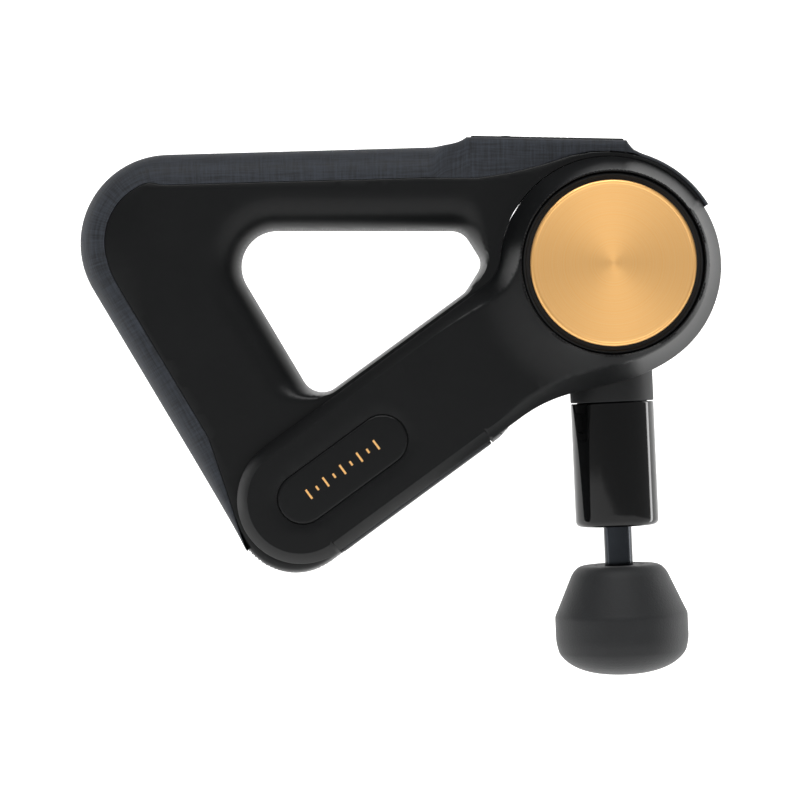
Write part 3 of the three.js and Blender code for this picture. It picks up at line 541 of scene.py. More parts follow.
@dataclass(frozen=True)
class Finish:
    """A surface: what it is made of and how it was made.

    Sizes are in millimetres. The grain is the fine texture that the mould or tool leaves, and
    the mottle is the slow change of tone over the piece. The black finishes' refractive index is
    set below the real material's, which is 1.4 to 1.6, to keep them dark under the studio's light.
    """

    name: str
    colour: str
    second_colour: str
    roughness: float
    metallic: float = 0.0
    ior: float = 1.5
    grain: float = 0.5
    grain_height: float = 0.01
    mottle: float = 18.0
    roughness_spread: float = 0.06
    coat: float = 0.0
    coat_roughness: float = 0.03

    def material(self) -> bpy.types.Material:
        """The finish's material, made once."""
        found = bpy.data.materials.get(self.name)
        if found:
            return found
        made = bpy.data.materials.new(self.name)
        made.use_nodes = True
        tree = made.node_tree
        tree.nodes.clear()
        shader = add(tree, "ShaderNodeBsdfPrincipled", {
            "Metallic": self.metallic,
            "Roughness": self.roughness,
            "Coat Weight": self.coat,
            "Coat Roughness": self.coat_roughness,
        })
        if self.metallic == 0:
            shader.inputs["IOR"].default_value = self.ior
        place = add(tree, "ShaderNodeTexCoord").outputs["Object"]
        self.dress(tree, shader, place)
        add(tree, "ShaderNodeOutputMaterial", {"Surface": shader.outputs["BSDF"]})
        return made

    def tone(self, tree: bpy.types.NodeTree, share: bpy.types.NodeSocket) -> bpy.types.NodeSocket:
        """The colour between the finish's two tones."""
        mixed = add(tree, "ShaderNodeMix", {"Factor": share}, data_type="RGBA")
        mixed.inputs[6].default_value = linear(self.colour)
        mixed.inputs[7].default_value = linear(self.second_colour)
        return mixed.outputs[2]

    def spread(self, tree: bpy.types.NodeTree, share: bpy.types.NodeSocket) -> bpy.types.NodeSocket:
        """The roughness, a little either side of the finish's own."""
        return add(tree, "ShaderNodeMapRange", {
            "Value": share,
            "To Min": self.roughness - self.roughness_spread,
            "To Max": self.roughness + self.roughness_spread,
        }).outputs["Result"]

    def bump(
        self, tree: bpy.types.NodeTree, height: bpy.types.NodeSocket, lift: float,
    ) -> bpy.types.NodeSocket:
        """A bumped normal whose height is given in millimetres."""
        raise_by = {"Height": height, "Distance": lift * MM, "Strength": 1.0}
        return add(tree, "ShaderNodeBump", raise_by).outputs[0]

    def dress(self, tree: bpy.types.NodeTree, shader: bpy.types.Node, place: bpy.types.NodeSocket) -> None:
        """Adds a moulded or machined surface: mottled tone, uneven gloss and a fine grain."""
        slow = add(tree, "ShaderNodeTexNoise", {
            "Vector": place, "Scale": 1 / (self.mottle * MM), "Detail": 3.0,
        })
        fine = add(tree, "ShaderNodeTexNoise", {
            "Vector": place, "Scale": 1 / (self.grain * MM), "Detail": 2.0,
        })
        tree.links.new(self.tone(tree, slow.outputs["Fac"]), shader.inputs["Base Color"])
        blend = add(tree, "ShaderNodeMath", {
            0: slow.outputs["Fac"], 1: fine.outputs["Fac"],
        }, operation="MULTIPLY")
        tree.links.new(self.spread(tree, blend.outputs[0]), shader.inputs["Roughness"])
        tree.links.new(self.bump(tree, fine.outputs["Fac"], self.grain_height), shader.inputs["Normal"])


@dataclass(frozen=True)
class WovenFinish(Finish):
    """Silicone moulded against a woven master: crossing thread streaks that follow the piece."""

    thread: float = 0.9
    streak: float = 14.0

    def dress(self, tree: bpy.types.NodeTree, shader: bpy.types.Node, place: bpy.types.NodeSocket) -> None:
        """Adds the threads' two directions from the piece's own UV map, which is in metres."""
        surface = add(tree, "ShaderNodeUVMap", uv_map="surface").outputs["UV"]
        across, along = 1 / (self.thread * MM), 1 / (self.streak * MM)
        heights = []
        for scale in ((across, along, 1), (along, across, 1)):
            turn = add(tree, "ShaderNodeMapping", {"Vector": surface, "Scale": scale})
            threads = add(tree, "ShaderNodeTexNoise", {
                "Vector": turn.outputs[0], "Scale": 1.0, "Detail": 2.5, "Roughness": 0.65,
            })
            heights.append(threads.outputs["Fac"])
        crossed = add(tree, "ShaderNodeMath", {0: heights[0], 1: heights[1]}, operation="ADD")
        level = add(tree, "ShaderNodeMapRange", {
            "Value": crossed.outputs[0], "From Min": 0.78, "From Max": 1.24,
        }).outputs["Result"]
        tree.links.new(self.tone(tree, level), shader.inputs["Base Color"])
        tree.links.new(self.spread(tree, level), shader.inputs["Roughness"])
        tree.links.new(self.bump(tree, level, self.grain_height), shader.inputs["Normal"])


@dataclass(frozen=True)
class SpunFinish(Finish):
    """Aluminium faced on a lathe and anodised: fine rings that stretch highlights into a bow tie."""

    ring: float = 0.55

    def dress(self, tree: bpy.types.NodeTree, shader: bpy.types.Node, place: bpy.types.NodeSocket) -> None:
        """Adds rings about the head's centre and points the stretch across them."""
        centre = add(tree, "ShaderNodeVectorMath", {0: place, 1: tuple(HEAD)}, operation="SUBTRACT")
        parts = add(tree, "ShaderNodeSeparateXYZ", {0: centre.outputs[0]})
        flat = add(tree, "ShaderNodeCombineXYZ", {"X": parts.outputs["X"], "Z": parts.outputs["Z"]})
        radius = add(tree, "ShaderNodeVectorMath", {0: flat.outputs[0]}, operation="LENGTH").outputs["Value"]
        outward = add(tree, "ShaderNodeVectorMath", {0: flat.outputs[0]}, operation="NORMALIZE")
        rings = add(tree, "ShaderNodeTexNoise", {
            "W": radius, "Scale": 1 / (self.ring * MM), "Detail": 3.0, "Roughness": 0.7,
        }, noise_dimensions="1D").outputs["Fac"]
        tree.links.new(self.tone(tree, rings), shader.inputs["Base Color"])
        tree.links.new(self.spread(tree, rings), shader.inputs["Roughness"])
        tree.links.new(self.bump(tree, rings, self.grain_height), shader.inputs["Normal"])
        tree.links.new(outward.outputs[0], shader.inputs["Tangent"])
        shader.inputs["Anisotropic"].default_value = 0.42


@dataclass(frozen=True)
class FoamFinish(Finish):
    """Closed-cell foam with a moulded skin: shallow pores and a soft, dry surface."""

    pore: float = 0.9

    def dress(self, tree: bpy.types.NodeTree, shader: bpy.types.Node, place: bpy.types.NodeSocket) -> None:
        """Adds pores of two sizes over a slow mottle."""
        slow = add(tree, "ShaderNodeTexNoise", {
            "Vector": place, "Scale": 1 / (self.mottle * MM), "Detail": 4.0,
        })
        cells = add(tree, "ShaderNodeTexVoronoi", {"Vector": place, "Scale": 1 / (self.pore * MM)})
        fine = add(tree, "ShaderNodeTexNoise", {
            "Vector": place, "Scale": 1 / (self.grain * MM), "Detail": 2.0,
        })
        both = add(tree, "ShaderNodeMath", {
            0: cells.outputs["Distance"], 1: fine.outputs["Fac"],
        }, operation="ADD")
        tree.links.new(self.tone(tree, slow.outputs["Fac"]), shader.inputs["Base Color"])
        tree.links.new(self.spread(tree, fine.outputs["Fac"]), shader.inputs["Roughness"])
        tree.links.new(self.bump(tree, both.outputs[0], self.grain_height), shader.inputs["Normal"])
        shader.inputs["Sheen Weight"].default_value = 0.08


@dataclass(frozen=True)
class BoardFinish(Finish):
    """A printed circuit board: solder mask over copper tracks that run square to the board."""

    track: float = 2.2

    def dress(self, tree: bpy.types.NodeTree, shader: bpy.types.Node, place: bpy.types.NodeSocket) -> None:
        """Adds tracks as raised square cells under the mask."""
        cells = add(tree, "ShaderNodeTexVoronoi", {
            "Vector": place, "Scale": 1 / (self.track * MM), "Randomness": 0.8,
        }, distance="CHEBYCHEV")
        level = add(tree, "ShaderNodeMath", {0: cells.outputs["Distance"], 1: 0.55}, operation="GREATER_THAN")
        tree.links.new(self.tone(tree, level.outputs[0]), shader.inputs["Base Color"])
        tree.links.new(self.spread(tree, level.outputs[0]), shader.inputs["Roughness"])
        tree.links.new(self.bump(tree, level.outputs[0], self.grain_height), shader.inputs["Normal"])


class Surface(Enum):
    """The finishes of the gun, by the record's slots and a few of their own."""

    # Injection-moulded ABS from a spark-eroded tool: an even satin black that shows soft edges.
    SATIN_ABS = Finish("Moulded satin ABS", "#090a0b", "#0d0e0f", 0.4,
                       ior=1.28, grain=0.45, grain_height=0.006)
    # Silicone cast against a linen master: charcoal, with lighter threads and almost no gloss.
    SILICONE_GRIP = WovenFinish("Linen-textured silicone", "#15171b", "#2d3138", 0.68, ior=1.36,
                                grain_height=0.07, roughness_spread=0.08)
    # Glass-filled nylon: a dry black with a coarse grain.
    MATTE_PLASTIC = Finish("Moulded matt nylon", "#0d0e0f", "#121314", 0.6,
                           ior=1.36, grain=0.6, grain_height=0.012)
    # The battery's outer skin: a coarse spark-eroded grain that a palm can hold.
    GRAINED_SKIN = Finish("Coarse-grained skin", "#0f1012", "#1d1f22", 0.62,
                          ior=1.36, grain=0.9, grain_height=0.12, mottle=1.4)
    # Polished black polycarbonate: a hard mirror with faint waves from the tool.
    GLOSS_PLASTIC = Finish("Polished black polycarbonate", "#050606", "#070708", 0.09, ior=1.4, grain=9.0,
                           grain_height=0.01, roughness_spread=0.03)
    # Faced and anodised aluminium in champagne gold.
    GOLD_METAL = SpunFinish("Spun gold anodised aluminium", "#ffbe6a", "#ffd294", 0.42, metallic=1.0,
                            grain_height=0.006, roughness_spread=0.05)
    # Hard-coated display glass over a black mask.
    SCREEN_GLASS = Finish("Coated display glass", "#101418", "#161b20", 0.06, ior=1.52, grain=12.0,
                          grain_height=0.003, roughness_spread=0.02, coat=0.6)
    # Ground bright steel.
    STEEL = Finish("Ground steel", "#8f9296", "#b4b7ba", 0.3, metallic=1.0, grain=0.4, grain_height=0.004)
    # Black-oxide steel, oiled: a dark mirror along the rod.
    BLACK_STEEL = Finish("Black oxide steel", "#1f2124", "#2d3034", 0.24, metallic=1.0, grain=0.5,
                         grain_height=0.002, roughness_spread=0.05)
    # Machined aluminium, lightly blasted.
    ALUMINIUM = Finish("Blasted aluminium", "#a4a7ab", "#c1c4c8", 0.42,
                       metallic=1.0, grain=0.3, grain_height=0.01)
    # Enamelled copper wire.
    COPPER = Finish("Enamelled copper", "#8f4a22", "#b8693a", 0.32,
                    metallic=1.0, grain=0.8, grain_height=0.06)
    # Sintered, oil-filled bronze.
    BRONZE = Finish("Sintered bronze", "#7c5a2c", "#9b7740", 0.45,
                    metallic=1.0, grain=0.35, grain_height=0.02)
    # Green solder mask over copper tracks.
    CIRCUIT_BOARD = BoardFinish("Solder mask over tracks", "#123a26", "#1f5a3b", 0.38, grain_height=0.04)
    # Moulded nitrile rubber.
    RUBBER = Finish("Nitrile rubber", "#141516", "#1a1b1c", 0.7, grain=0.5, grain_height=0.015)
    # Closed-cell foam with a moulded skin: nearly black, with soft broad highlights.
    FOAM = FoamFinish("Closed-cell foam", "#101113", "#17191b", 0.6,
                      ior=1.4, grain=0.35, grain_height=0.035, mottle=9.0)

    def slot(self) -> str:
        """The record's slot that the finish belongs to."""
        return "rubber" if self is Surface.GRAINED_SKIN else self.name.lower()

    def put_on(self, piece: bpy.types.Object) -> None:
        """Gives a piece this finish as its only material."""
        piece.data.materials.clear()
        piece.data.materials.append(self.value.material())


def settle(piece: bpy.types.Object, surface: Surface, body: str, *nodes: str) -> bpy.types.Object:
    """Finishes a piece and ties it to the frame.

    Args:
        piece: The piece.
        surface: Its finish.
        body: The CAD body it moves with.
        nodes: The CAD nodes it stands for.

    Returns:
        The piece.
    """
    surface.put_on(piece)
    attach(piece, body)
    if nodes:
        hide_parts(*nodes)
    LOG.info("%s: %d faces, on %s", piece.name, len(piece.data.polygons), body)
    return piece


# ---- the handle's outlines ------------------------------------------------------------------------
@dataclass
class Outline:
    """The handle seen from the side: its whole outline, hand hole, grip edge and cover edge."""

    corner_top: float = 35.0
    corner_low: float = 23.8
    plateau_start: float = -65.2
    plateau_end: float = 14.5
    plateau_rise: float = 1.3
    seam_top: float = 13.0
    seam_corner: float = 11.0
    seam_leg: float = 10.0
    step: float = 1.6

    def __post_init__(self) -> None:
        """Works out the outlines that the pieces share."""
        self.whole = rounded(self.body_corners(0.0), self.step)
        self.hole = rounded(self.hole_corners(), self.step)
        self.cover = self.cover_edge()
        self.grip_path()

    def body_corners(self, inset: float) -> list[Corner]:
        """The body's corners, its grip edges moved in."""
        top = (90 + BAR_SLOPE, BAR_TOP - inset)
        leg = (LEG_ANGLE, LEG_OUT - inset)
        lower_edge = (270 + ARM_SLOPE, ARM_BELOW)
        return [
            meet(top, (180, -self.plateau_start)),
            meet(top, leg, self.corner_top - inset),
            meet(leg, lower_edge, self.corner_low - inset),
            arm_place(29.0, ARM_BELOW),
            Corner(0, 0),
            Corner(0, HOOD_R - inset),
        ]

    def hole_corners(self) -> list[Corner]:
        """The hand hole's corners."""
        apex = -(WINDOW_R + 6.6)
        top, leg, arm = (90, BAR_UNDER), (LEG_ANGLE, LEG_IN), (270 + ARM_SLOPE, -ARM_ABOVE)
        return [
            Corner(apex - 7.5, BAR_UNDER, 8.0),
            meet(top, leg, 14.0),
            meet(leg, arm, 8.3),
            meet(arm, (180, -apex + 6.5), 8.0),
            Corner(apex + 0.6, 1.5, 6.0),
        ]

    def cover_edge(self) -> Points:
        """The side covers' edge: a capsule along the arm blended into the ring.

        Returns:
            The outline, counter-clockwise.
        """
        half, ring, lowered = 24.6, 42.1, 2.4
        blend_above, blend_below = 7.0, 26.0
        angles = np.arange(1440) * math.pi / 720
        ray = np.stack([np.cos(angles), np.sin(angles)], 1)
        near, far = np.zeros(len(angles)), np.full(len(angles), 260.0)
        for _ in range(40):
            middle = (near + far) / 2
            along, below = arm_distances(ray * middle[:, None])
            arm = np.hypot(along - np.clip(along, 0, COVER_END - 0.5), below - lowered) - half
            head = middle - ring
            k = np.where(below > 0, blend_below, blend_above)
            share = np.maximum(k - np.abs(arm - head), 0) / k
            outside = np.minimum(arm, head) - share**2 * k / 4 > 0
            far, near = np.where(outside, middle, far), np.where(outside, near, middle)
        loop = ray * near[:, None]
        run = np.linalg.norm(np.roll(loop, -1, axis=0) - loop, axis=1)
        way = np.concatenate([[0], np.cumsum(run)])
        closed = np.concatenate([loop, loop[:1]])
        places = np.arange(0, way[-1], way[-1] / round(way[-1] / self.step))
        return np.stack([np.interp(places, way, closed[:, i]) for i in (0, 1)], 1)

    def grip_path(self) -> None:
        """Finds the grip's stations: places on its outer line, the way in, and its flange's width."""
        rise = (90 + BAR_SLOPE) * DEG

        def top_z(x: float) -> float:
            """The bar's top line at x."""
            return (BAR_TOP - x * math.cos(rise)) / math.sin(rise)

        spots: list[tuple[float, float]] = []
        for angle in np.arange(HOOD_END, 71.0, 1.6):
            spots.append((HOOD_R * math.cos(angle * DEG), HOOD_R * math.sin(angle * DEG)))
        rise_top, rise_end = BAR_TOP + self.plateau_rise, BAR_TOP + self.plateau_rise - 1.2
        drop, foot = (self.plateau_end, HOOD_R * math.sin(71.6 * DEG)), top_z(self.plateau_start - 3)
        spots += curved(drop, (10.4, 45.0), (8.2, 46.6), (6.8, rise_end), 9)
        flat_x = [6.12, 6.08, *np.arange(4.9, -53.0, -2.0), -53.78, -53.82]
        spots += [(x, rise_end + (rise_top - rise_end) * (7.0 - x) / 62.0) for x in flat_x]
        spots += curved((-55.2, rise_top), (-57.4, 48.6), (-60.4, 47.2), (self.plateau_start - 3, foot), 10)
        corner = meet((90 + BAR_SLOPE, BAR_TOP), (LEG_ANGLE, LEG_OUT))
        half = (LEG_ANGLE - 90 - BAR_SLOPE) * DEG / 2
        reach = self.corner_top * math.tan(half)
        first = np.array([corner.x + reach * math.sin((90 + BAR_SLOPE) * DEG), 0])
        spots += [(x, top_z(x)) for x in np.arange(self.plateau_start - 5.4, first[0], -2.4)]
        middle_x = first[0] - self.corner_top * math.cos((90 + BAR_SLOPE) * DEG)
        middle_z = top_z(first[0]) - self.corner_top * math.sin((90 + BAR_SLOPE) * DEG)
        arc_start = len(spots)
        for angle in np.arange(90 + BAR_SLOPE, LEG_ANGLE + 1, 3.2):
            spots.append((middle_x + self.corner_top * math.cos(angle * DEG),
                          middle_z + self.corner_top * math.sin(angle * DEG)))
        arc_end = len(spots)
        foot_z = arm_place(147.6, ARM_BELOW).z
        leg_start = np.array(spots[-1])
        leg_way = np.array([-math.sin(LEG_ANGLE * DEG), math.cos(LEG_ANGLE * DEG)])
        length = (foot_z - leg_start[1]) / leg_way[1]
        spots += [tuple(leg_start + leg_way * t) for t in np.arange(2.4, length, 2.4)]
        spots.append(tuple(leg_start + leg_way * length))
        path = np.array(spots)
        run = np.gradient(path, axis=0)
        run /= np.linalg.norm(run, axis=1)[:, None]
        inward = np.stack([-run[:, 1], run[:, 0]], 1)
        upright = eased((17.0 - path[:, 0]) / 9.0) * (path[:, 0] > self.plateau_start - 5)
        inward = inward * (1 - upright)[:, None] + np.array([0.0, -1.0]) * upright[:, None]
        inward /= np.linalg.norm(inward, axis=1)[:, None]
        way = np.concatenate([[0], np.cumsum(np.linalg.norm(np.diff(path, axis=0), axis=1))])
        seam_x = [-72.0, -69.0, -51.3, -38.0, -25.7, -14.9, -7.0, 0.8, 8.5, 14.5]
        seam_z = [34.1, 34.0, 33.9, 36.0, 39.1, 42.6, 44.0, 44.3, 43.6, 42.3]
        width = np.full(len(path), self.seam_top)
        hood = path[:, 0] > self.plateau_start - 5.5
        width[hood] = path[hood, 1] - np.interp(path[hood, 0], seam_x[:], seam_z[:])
        width[path[:, 0] > 14.0] = 2.1
        arc = np.arange(len(path))
        into = eased((arc - arc_start) / 6)
        out = eased((arc - arc_end + 6) / 8)
        past = arc >= arc_start - 1
        width[past] = (self.seam_top + (self.seam_corner - self.seam_top) * into
                       + (self.seam_leg - self.seam_corner) * out)[past]
        left = way[-1] - way
        width *= np.where(past, np.minimum(1, 0.02 + left / 46.0), 1)
        self.path, self.inward, self.way = path, inward, way
        self.width = np.maximum(width, np.where(past, 0.7, 2.2))
        self.plateau = eased((path[:, 0] - self.plateau_start + 4) / 7) * eased((12.0 - path[:, 0]) / 5)
        self.on_hood = eased((path[:, 0] - 6) / 6)

    def seam(self, extra: float = 0.0) -> Points:
        """The grip's inner edge, closed far below the handle.

        Args:
            extra: How far inside the edge.

        Returns:
            A counter-clockwise outline of everything that the grip leaves bare.
        """
        line = self.path + self.inward * (self.width + extra)[:, None]
        low = self.path[-1]
        far = np.array([[low[0] - 3, low[1] - 3], [low[0] - 3, low[1] - 90], [90, low[1] - 90], [90, 20.0]])
        return spaced(np.concatenate([line, far]), 3.0)


def curved(
    start: tuple[float, float],
    first: tuple[float, float],
    second: tuple[float, float],
    end: tuple[float, float],
    count: int,
) -> list[tuple[float, float]]:
    """Points along a Bezier curve, its first point among them."""
    p0, p1, p2, p3 = (np.array(p) for p in (start, first, second, end))
    rows = []
    for t in np.linspace(0, 1, count):
        left = 1 - t
        rows.append(tuple(left**3 * p0 + 3 * t * left**2 * p1 + 3 * t * t * left * p2 + t**3 * p3))
    return rows


# ---- handle: shells, grip and covers -------------------------------------------------------------
@dataclass
class Handle:
    """The triangular handle: two shells, the grip over them, and the raised side covers."""

    outline: Outline
    hole_round: float = 13.0
    wall: float = 2.4
    joint_gap: float = 0.15
    bay_start: float = 76.7
    bay_end: float = 149.3
    bay_top: float = -13.5
    release: tuple[float, float, float, float] = (61.7, 72.3, 19.4, 7.3)
    ring_land: float = 35.3
    ring_fillet: float = 19.0
    wall_at_ring: float = 17.7
    wall_on_arm: float = 21.5
    bevel_at_ring: float = 6.6
    bevel_on_arm: float = 4.2
    badge_radius: float = 9.7
    badge_ends: tuple[float, float] = (110.6, 148.4)
    badge_below: float = 2.4
    screws: list[tuple[float, float]] = field(default_factory=list)

    def underside_line(self, inset: float) -> Points:
        """Points along the underside, moved in."""
        along = np.arange(24.0, 80.0, 1.5)
        return from_arm(np.stack([along, underside(along) - inset], 1))

    def bay_outline(self) -> Points:
        """The battery's bay seen from the side, open past the underside."""
        past = 60.0
        return from_arm(np.array([
            (self.bay_start, self.bay_top), (self.bay_end, self.bay_top),
            (self.bay_end, past), (self.bay_start, past),
        ]))

    def bare_height(self, points: Points) -> np.ndarray:
        """The handle's half thickness where no cover or grip lies over it."""
        along, below = arm_distances(points)
        hole, cover = self.outline.hole, self.outline.cover
        from_hole = -depth(points, hole)
        from_cover = np.maximum(-depth(points, cover), 0)
        from_edge = depth(points, self.outline.whole)
        from_edge = np.where(along > 15, np.minimum(from_edge, underside(along) - below), from_edge)
        rounding = 1.2 + (self.hole_round - 1.2) * eased(from_cover / 17.0)
        edge = np.where(depth(points, self.outline.seam()) > 0, crown(from_edge / 4.2, 3.0), 1.0)
        edge = np.where(points[:, 1] > 0, 1.0, edge)
        return BODY_FACE * crown(from_hole / rounding, 2.0) * edge

    def shell(self, side: int) -> bpy.types.Object:
        """One half of the body.

        Args:
            side: -1 for the front, 1 for the rear.

        Returns:
            The shell.
        """
        outline = self.outline
        inset = GRIP + 0.3
        skin = rounded(outline.body_corners(inset), 1.6)
        hood = circle(HOOD_R - inset, 180)
        window = circle(WINDOW_R, 200)
        reach = 200.0
        lean = SNOUT_LEAN
        edge_x = -SNOUT_R - 1.2

        def corner(x: float, z: float) -> tuple[float, float]:
            """A corner of the snout's sweep, turned by the snout's lean."""
            return x * math.cos(lean) - z * math.sin(lean), x * math.sin(lean) + z * math.cos(lean)

        sector = np.array([
            corner(edge_x, -20.0), corner(edge_x, -reach), corner(reach, -reach),
            (reach * math.cos(HOOD_END * DEG), reach * math.sin(HOOD_END * DEG)), (0.0, 0.0),
        ])
        bay = self.bay_outline()
        near, far, deep, half = self.release
        notch = from_arm(np.array([(near, deep), (far, deep), (far, 60.0), (near, 60.0)]))
        along_lip = np.linspace(near - 1, far + 1, 9)
        notch_lip = from_arm(np.stack([along_lip, underside(along_lip) - 0.15], 1))
        dip = self.underside_line(0.0)
        seams = [outline.seam(0.12), outline.seam(0.2), outline.seam(0.6)]
        bores = [circle(3.2, 20, x, z) for x, z in self.screws] if side > 0 else []
        lines = [skin, hood, window, sector, bay, notch, notch_lip, dip]
        lines += [outline.whole, outline.hole, *seams, *bores]
        closed = [line is not notch_lip and line is not dip for line in lines]
        steps = (0.2, 0.5, 0.9, 1.5, 2.3, 3.2, 4.2, 5.4, 6.8, 8.4, 10.2, 12.2)
        rings = [rounded(grown(outline.hole_corners(), s), 1.8) for s in steps]
        insets = (0.15, 0.43, 0.8, 1.3, 2.0, 2.9, 4.0)
        low = [rounded(grown(outline.body_corners(0.0), -s), 1.8) for s in insets]
        low += [self.underside_line(s) for s in insets]
        lined = np.concatenate([*rings, *low])
        lined = thinned(lined, np.concatenate([line for line in lines if len(line) > 12]), 0.12)
        flat = grid((-180.0, -125.0), (50.0, 56.0), 3.0)
        flat = thinned(flat, np.concatenate([lined, *[line for line in lines if len(line) > 12]]), 1.4)

        def keep(points: Points) -> np.ndarray:
            """Which places the shell covers."""
            radius = np.hypot(points[:, 0], points[:, 1])
            bare = inside(points, outline.whole) & inside(points, seams[0])
            body = inside(points, skin) | bare | ((radius < HOOD_R - inset) & (points[:, 1] > -40))
            along, below = arm_distances(points)
            body &= (along < 15) | (below < underside(along))
            kept = body & ~inside(points, outline.hole) & (radius > WINDOW_R)
            kept &= ~inside(points, sector) & ~inside(points, bay)
            kept &= ~(inside(points, notch) & (self.bare_height(points) < half + 0.1))
            for bore in bores:
                kept &= ~inside(points, bore)
            return kept

        def top(points: Points) -> np.ndarray:
            """The shell's outer height."""
            bare = self.bare_height(points)
            past_seam = depth(points, outline.seam())
            lip = 0.35 * (1 - crown((past_seam - 0.15) / 0.45, 2.0))
            under = BODY_FACE * crown((depth(points, outline.whole) - 0.6) / 11.0, 2.2) - 2.7
            shown = bare - lip * (past_seam < 0.7)
            return np.where(past_seam > 0.16, shown, np.minimum(bare - 2.5, under)).clip(self.joint_gap)

        def base(points: Points) -> np.ndarray:
            """The shell's inner height, solid round its window, bay and bores."""
            radius = np.hypot(points[:, 0], points[:, 1])
            inner = np.maximum(top(points) - self.wall, self.joint_gap)
            along, below = arm_distances(points)
            rim = (radius < WINDOW_R + self.wall) | (-depth(points, outline.hole) < self.wall)
            rim |= (depth(points, outline.whole) < self.wall + inset)
            rim |= (along > self.bay_start - self.wall) & (along < self.bay_end + self.wall) & (
                below > self.bay_top - self.wall)
            for x, z in self.screws:
                rim |= np.hypot(points[:, 0] - x, points[:, 1] - z) < 4.2
            inner = np.where(rim, self.joint_gap, inner)
            in_notch = (along > near - 0.01) & (along < far + 0.01) & (below > deep - 0.01)
            return np.where(in_notch, half, inner)

        name = "front_body_shell" if side < 0 else "rear_body_shell"
        return raised(name, lines, np.concatenate([lined, flat]), keep, top, base, on_side(side), closed)

    def ring_height(self, points: Points) -> np.ndarray:
        """The cover's own height before its edge is bevelled: the ring's land and its fillet."""
        radius = np.hypot(points[:, 0], points[:, 1])
        fall = np.clip((radius - self.ring_land) / self.ring_fillet, 0, 1)
        return ARM_FACE + (RING_FACE - ARM_FACE) * (1 - fall) ** 2.2

    def cover(self, side: int) -> bpy.types.Object:
        """One side cover: the arm's raised face, the ring and the badge's recess.

        Args:
            side: -1 for the front, 1 for the rear.

        Returns:
            The cover.
        """
        edge = self.outline.cover
        bore = circle(RING_BORE_R, 160)
        recess, recess_floor = [
            from_arm(pill(*self.badge_ends, self.badge_radius + gap) + [0.0, self.badge_below])
            for gap in (0.35, 0.32)
        ]
        lines = [edge, bore, recess, recess_floor, spaced(self.bay_outline(), 3.0)]
        offsets = (0.12, 0.35, 0.7, 1.2, 1.9, 2.7, 3.5, 4.0, 4.2, 4.5, 5.2, 6.0, 6.6)
        rings = [moved_in(edge, s) for s in offsets]
        land_radii = (35.0, 35.3, 35.8, 36.2, 36.6, 37.2, 38.0, 39.0)
        fillet_radii = (40.2, 41.6, 43.2, 45.0, 47.0, 49.2, 51.6, 54.2)
        circles = [circle(r, 150) for r in land_radii + fillet_radii]
        loose = np.concatenate([*rings, *circles])
        fixed = np.concatenate(lines)
        loose = thinned(loose[inside(loose, edge)], fixed, 0.1)
        flat = grid((-170.0, -130.0), (60.0, 50.0), 3.0)
        flat = thinned(flat[inside(flat, edge)], np.concatenate([loose, fixed]), 1.5)

        def keep(points: Points) -> np.ndarray:
            """Which places the cover covers."""
            return inside(points, edge) & (np.hypot(points[:, 0], points[:, 1]) > RING_BORE_R)

        def top(points: Points) -> np.ndarray:
            """The cover's outer height."""
            along, _ = arm_distances(points)
            radius = np.hypot(points[:, 0], points[:, 1])
            on_arm = eased((along - 34.0) / 36.0)
            side_wall = self.wall_at_ring + (self.wall_on_arm - self.wall_at_ring) * on_arm
            bevel = self.bevel_at_ring + (self.bevel_on_arm - self.bevel_at_ring) * on_arm
            share = np.clip(depth(points, edge) / bevel, 0, 1)
            rise = share + 0.22 * share * (1 - share)
            high = self.ring_height(points)
            land = 0.45 * (1 - crown((radius - RING_BORE_R) / 0.5, 2.0))
            height = side_wall + (high - side_wall) * rise - land
            lip = 0.3 * (1 - crown(np.abs(depth(points, recess)) / 0.4, 2.0))
            pocket = inside(points, moved_in(recess, 0.02))
            return np.where(pocket, ARM_FACE - 1.65, height - lip)

        def base(points: Points) -> np.ndarray:
            """The cover's inner height, raised over the battery's seat."""
            along, below = arm_distances(points)
            seated = (along > self.bay_start - 0.01) & (along < self.bay_end + 0.01)
            seated &= below > self.bay_top - 0.01
            return np.where(seated, 20.5, BODY_FACE + 0.3)

        name = "front_arm_cover" if side < 0 else "rear_arm_cover"
        return raised(name, lines, np.concatenate([loose, flat]), keep, top, base, on_side(side))

    def badge(self, side: int) -> bpy.types.Object:
        """The pill-shaped badge plate, chamfered and very slightly crowned.

        Args:
            side: -1 for the front, 1 for the rear.

        Returns:
            The plate.
        """
        (start, end), radius = self.badge_ends, self.badge_radius
        edge = pill(start, end, radius, 40)
        rings = [pill(start, end, radius - s, 32) for s in (0.15, 0.35, 0.6, 0.9, 1.4, 2.6, 4.4, 6.4, 8.6)]

        def top(points: Points) -> np.ndarray:
            """The plate's outer height."""
            into = depth(points, edge)
            return ARM_FACE - 0.55 + 0.5 * crown(into / 0.7, 1.6) + 0.12 * crown(into / radius, 2.0)

        def place(rows: Points) -> Points:
            """Turns rows drawn along the arm into the head's frame."""
            spots = from_arm(rows[:, :2] + [0.0, self.badge_below])
            return np.stack([spots[:, 0], side * rows[:, 2], spots[:, 1]], 1)

        name = "front_badge" if side < 0 else "rear_badge"
        return raised(name, [edge], np.concatenate(rings), lambda p: inside(p, edge), top,
                      lambda p: np.full(len(p), ARM_FACE - 1.3), place)

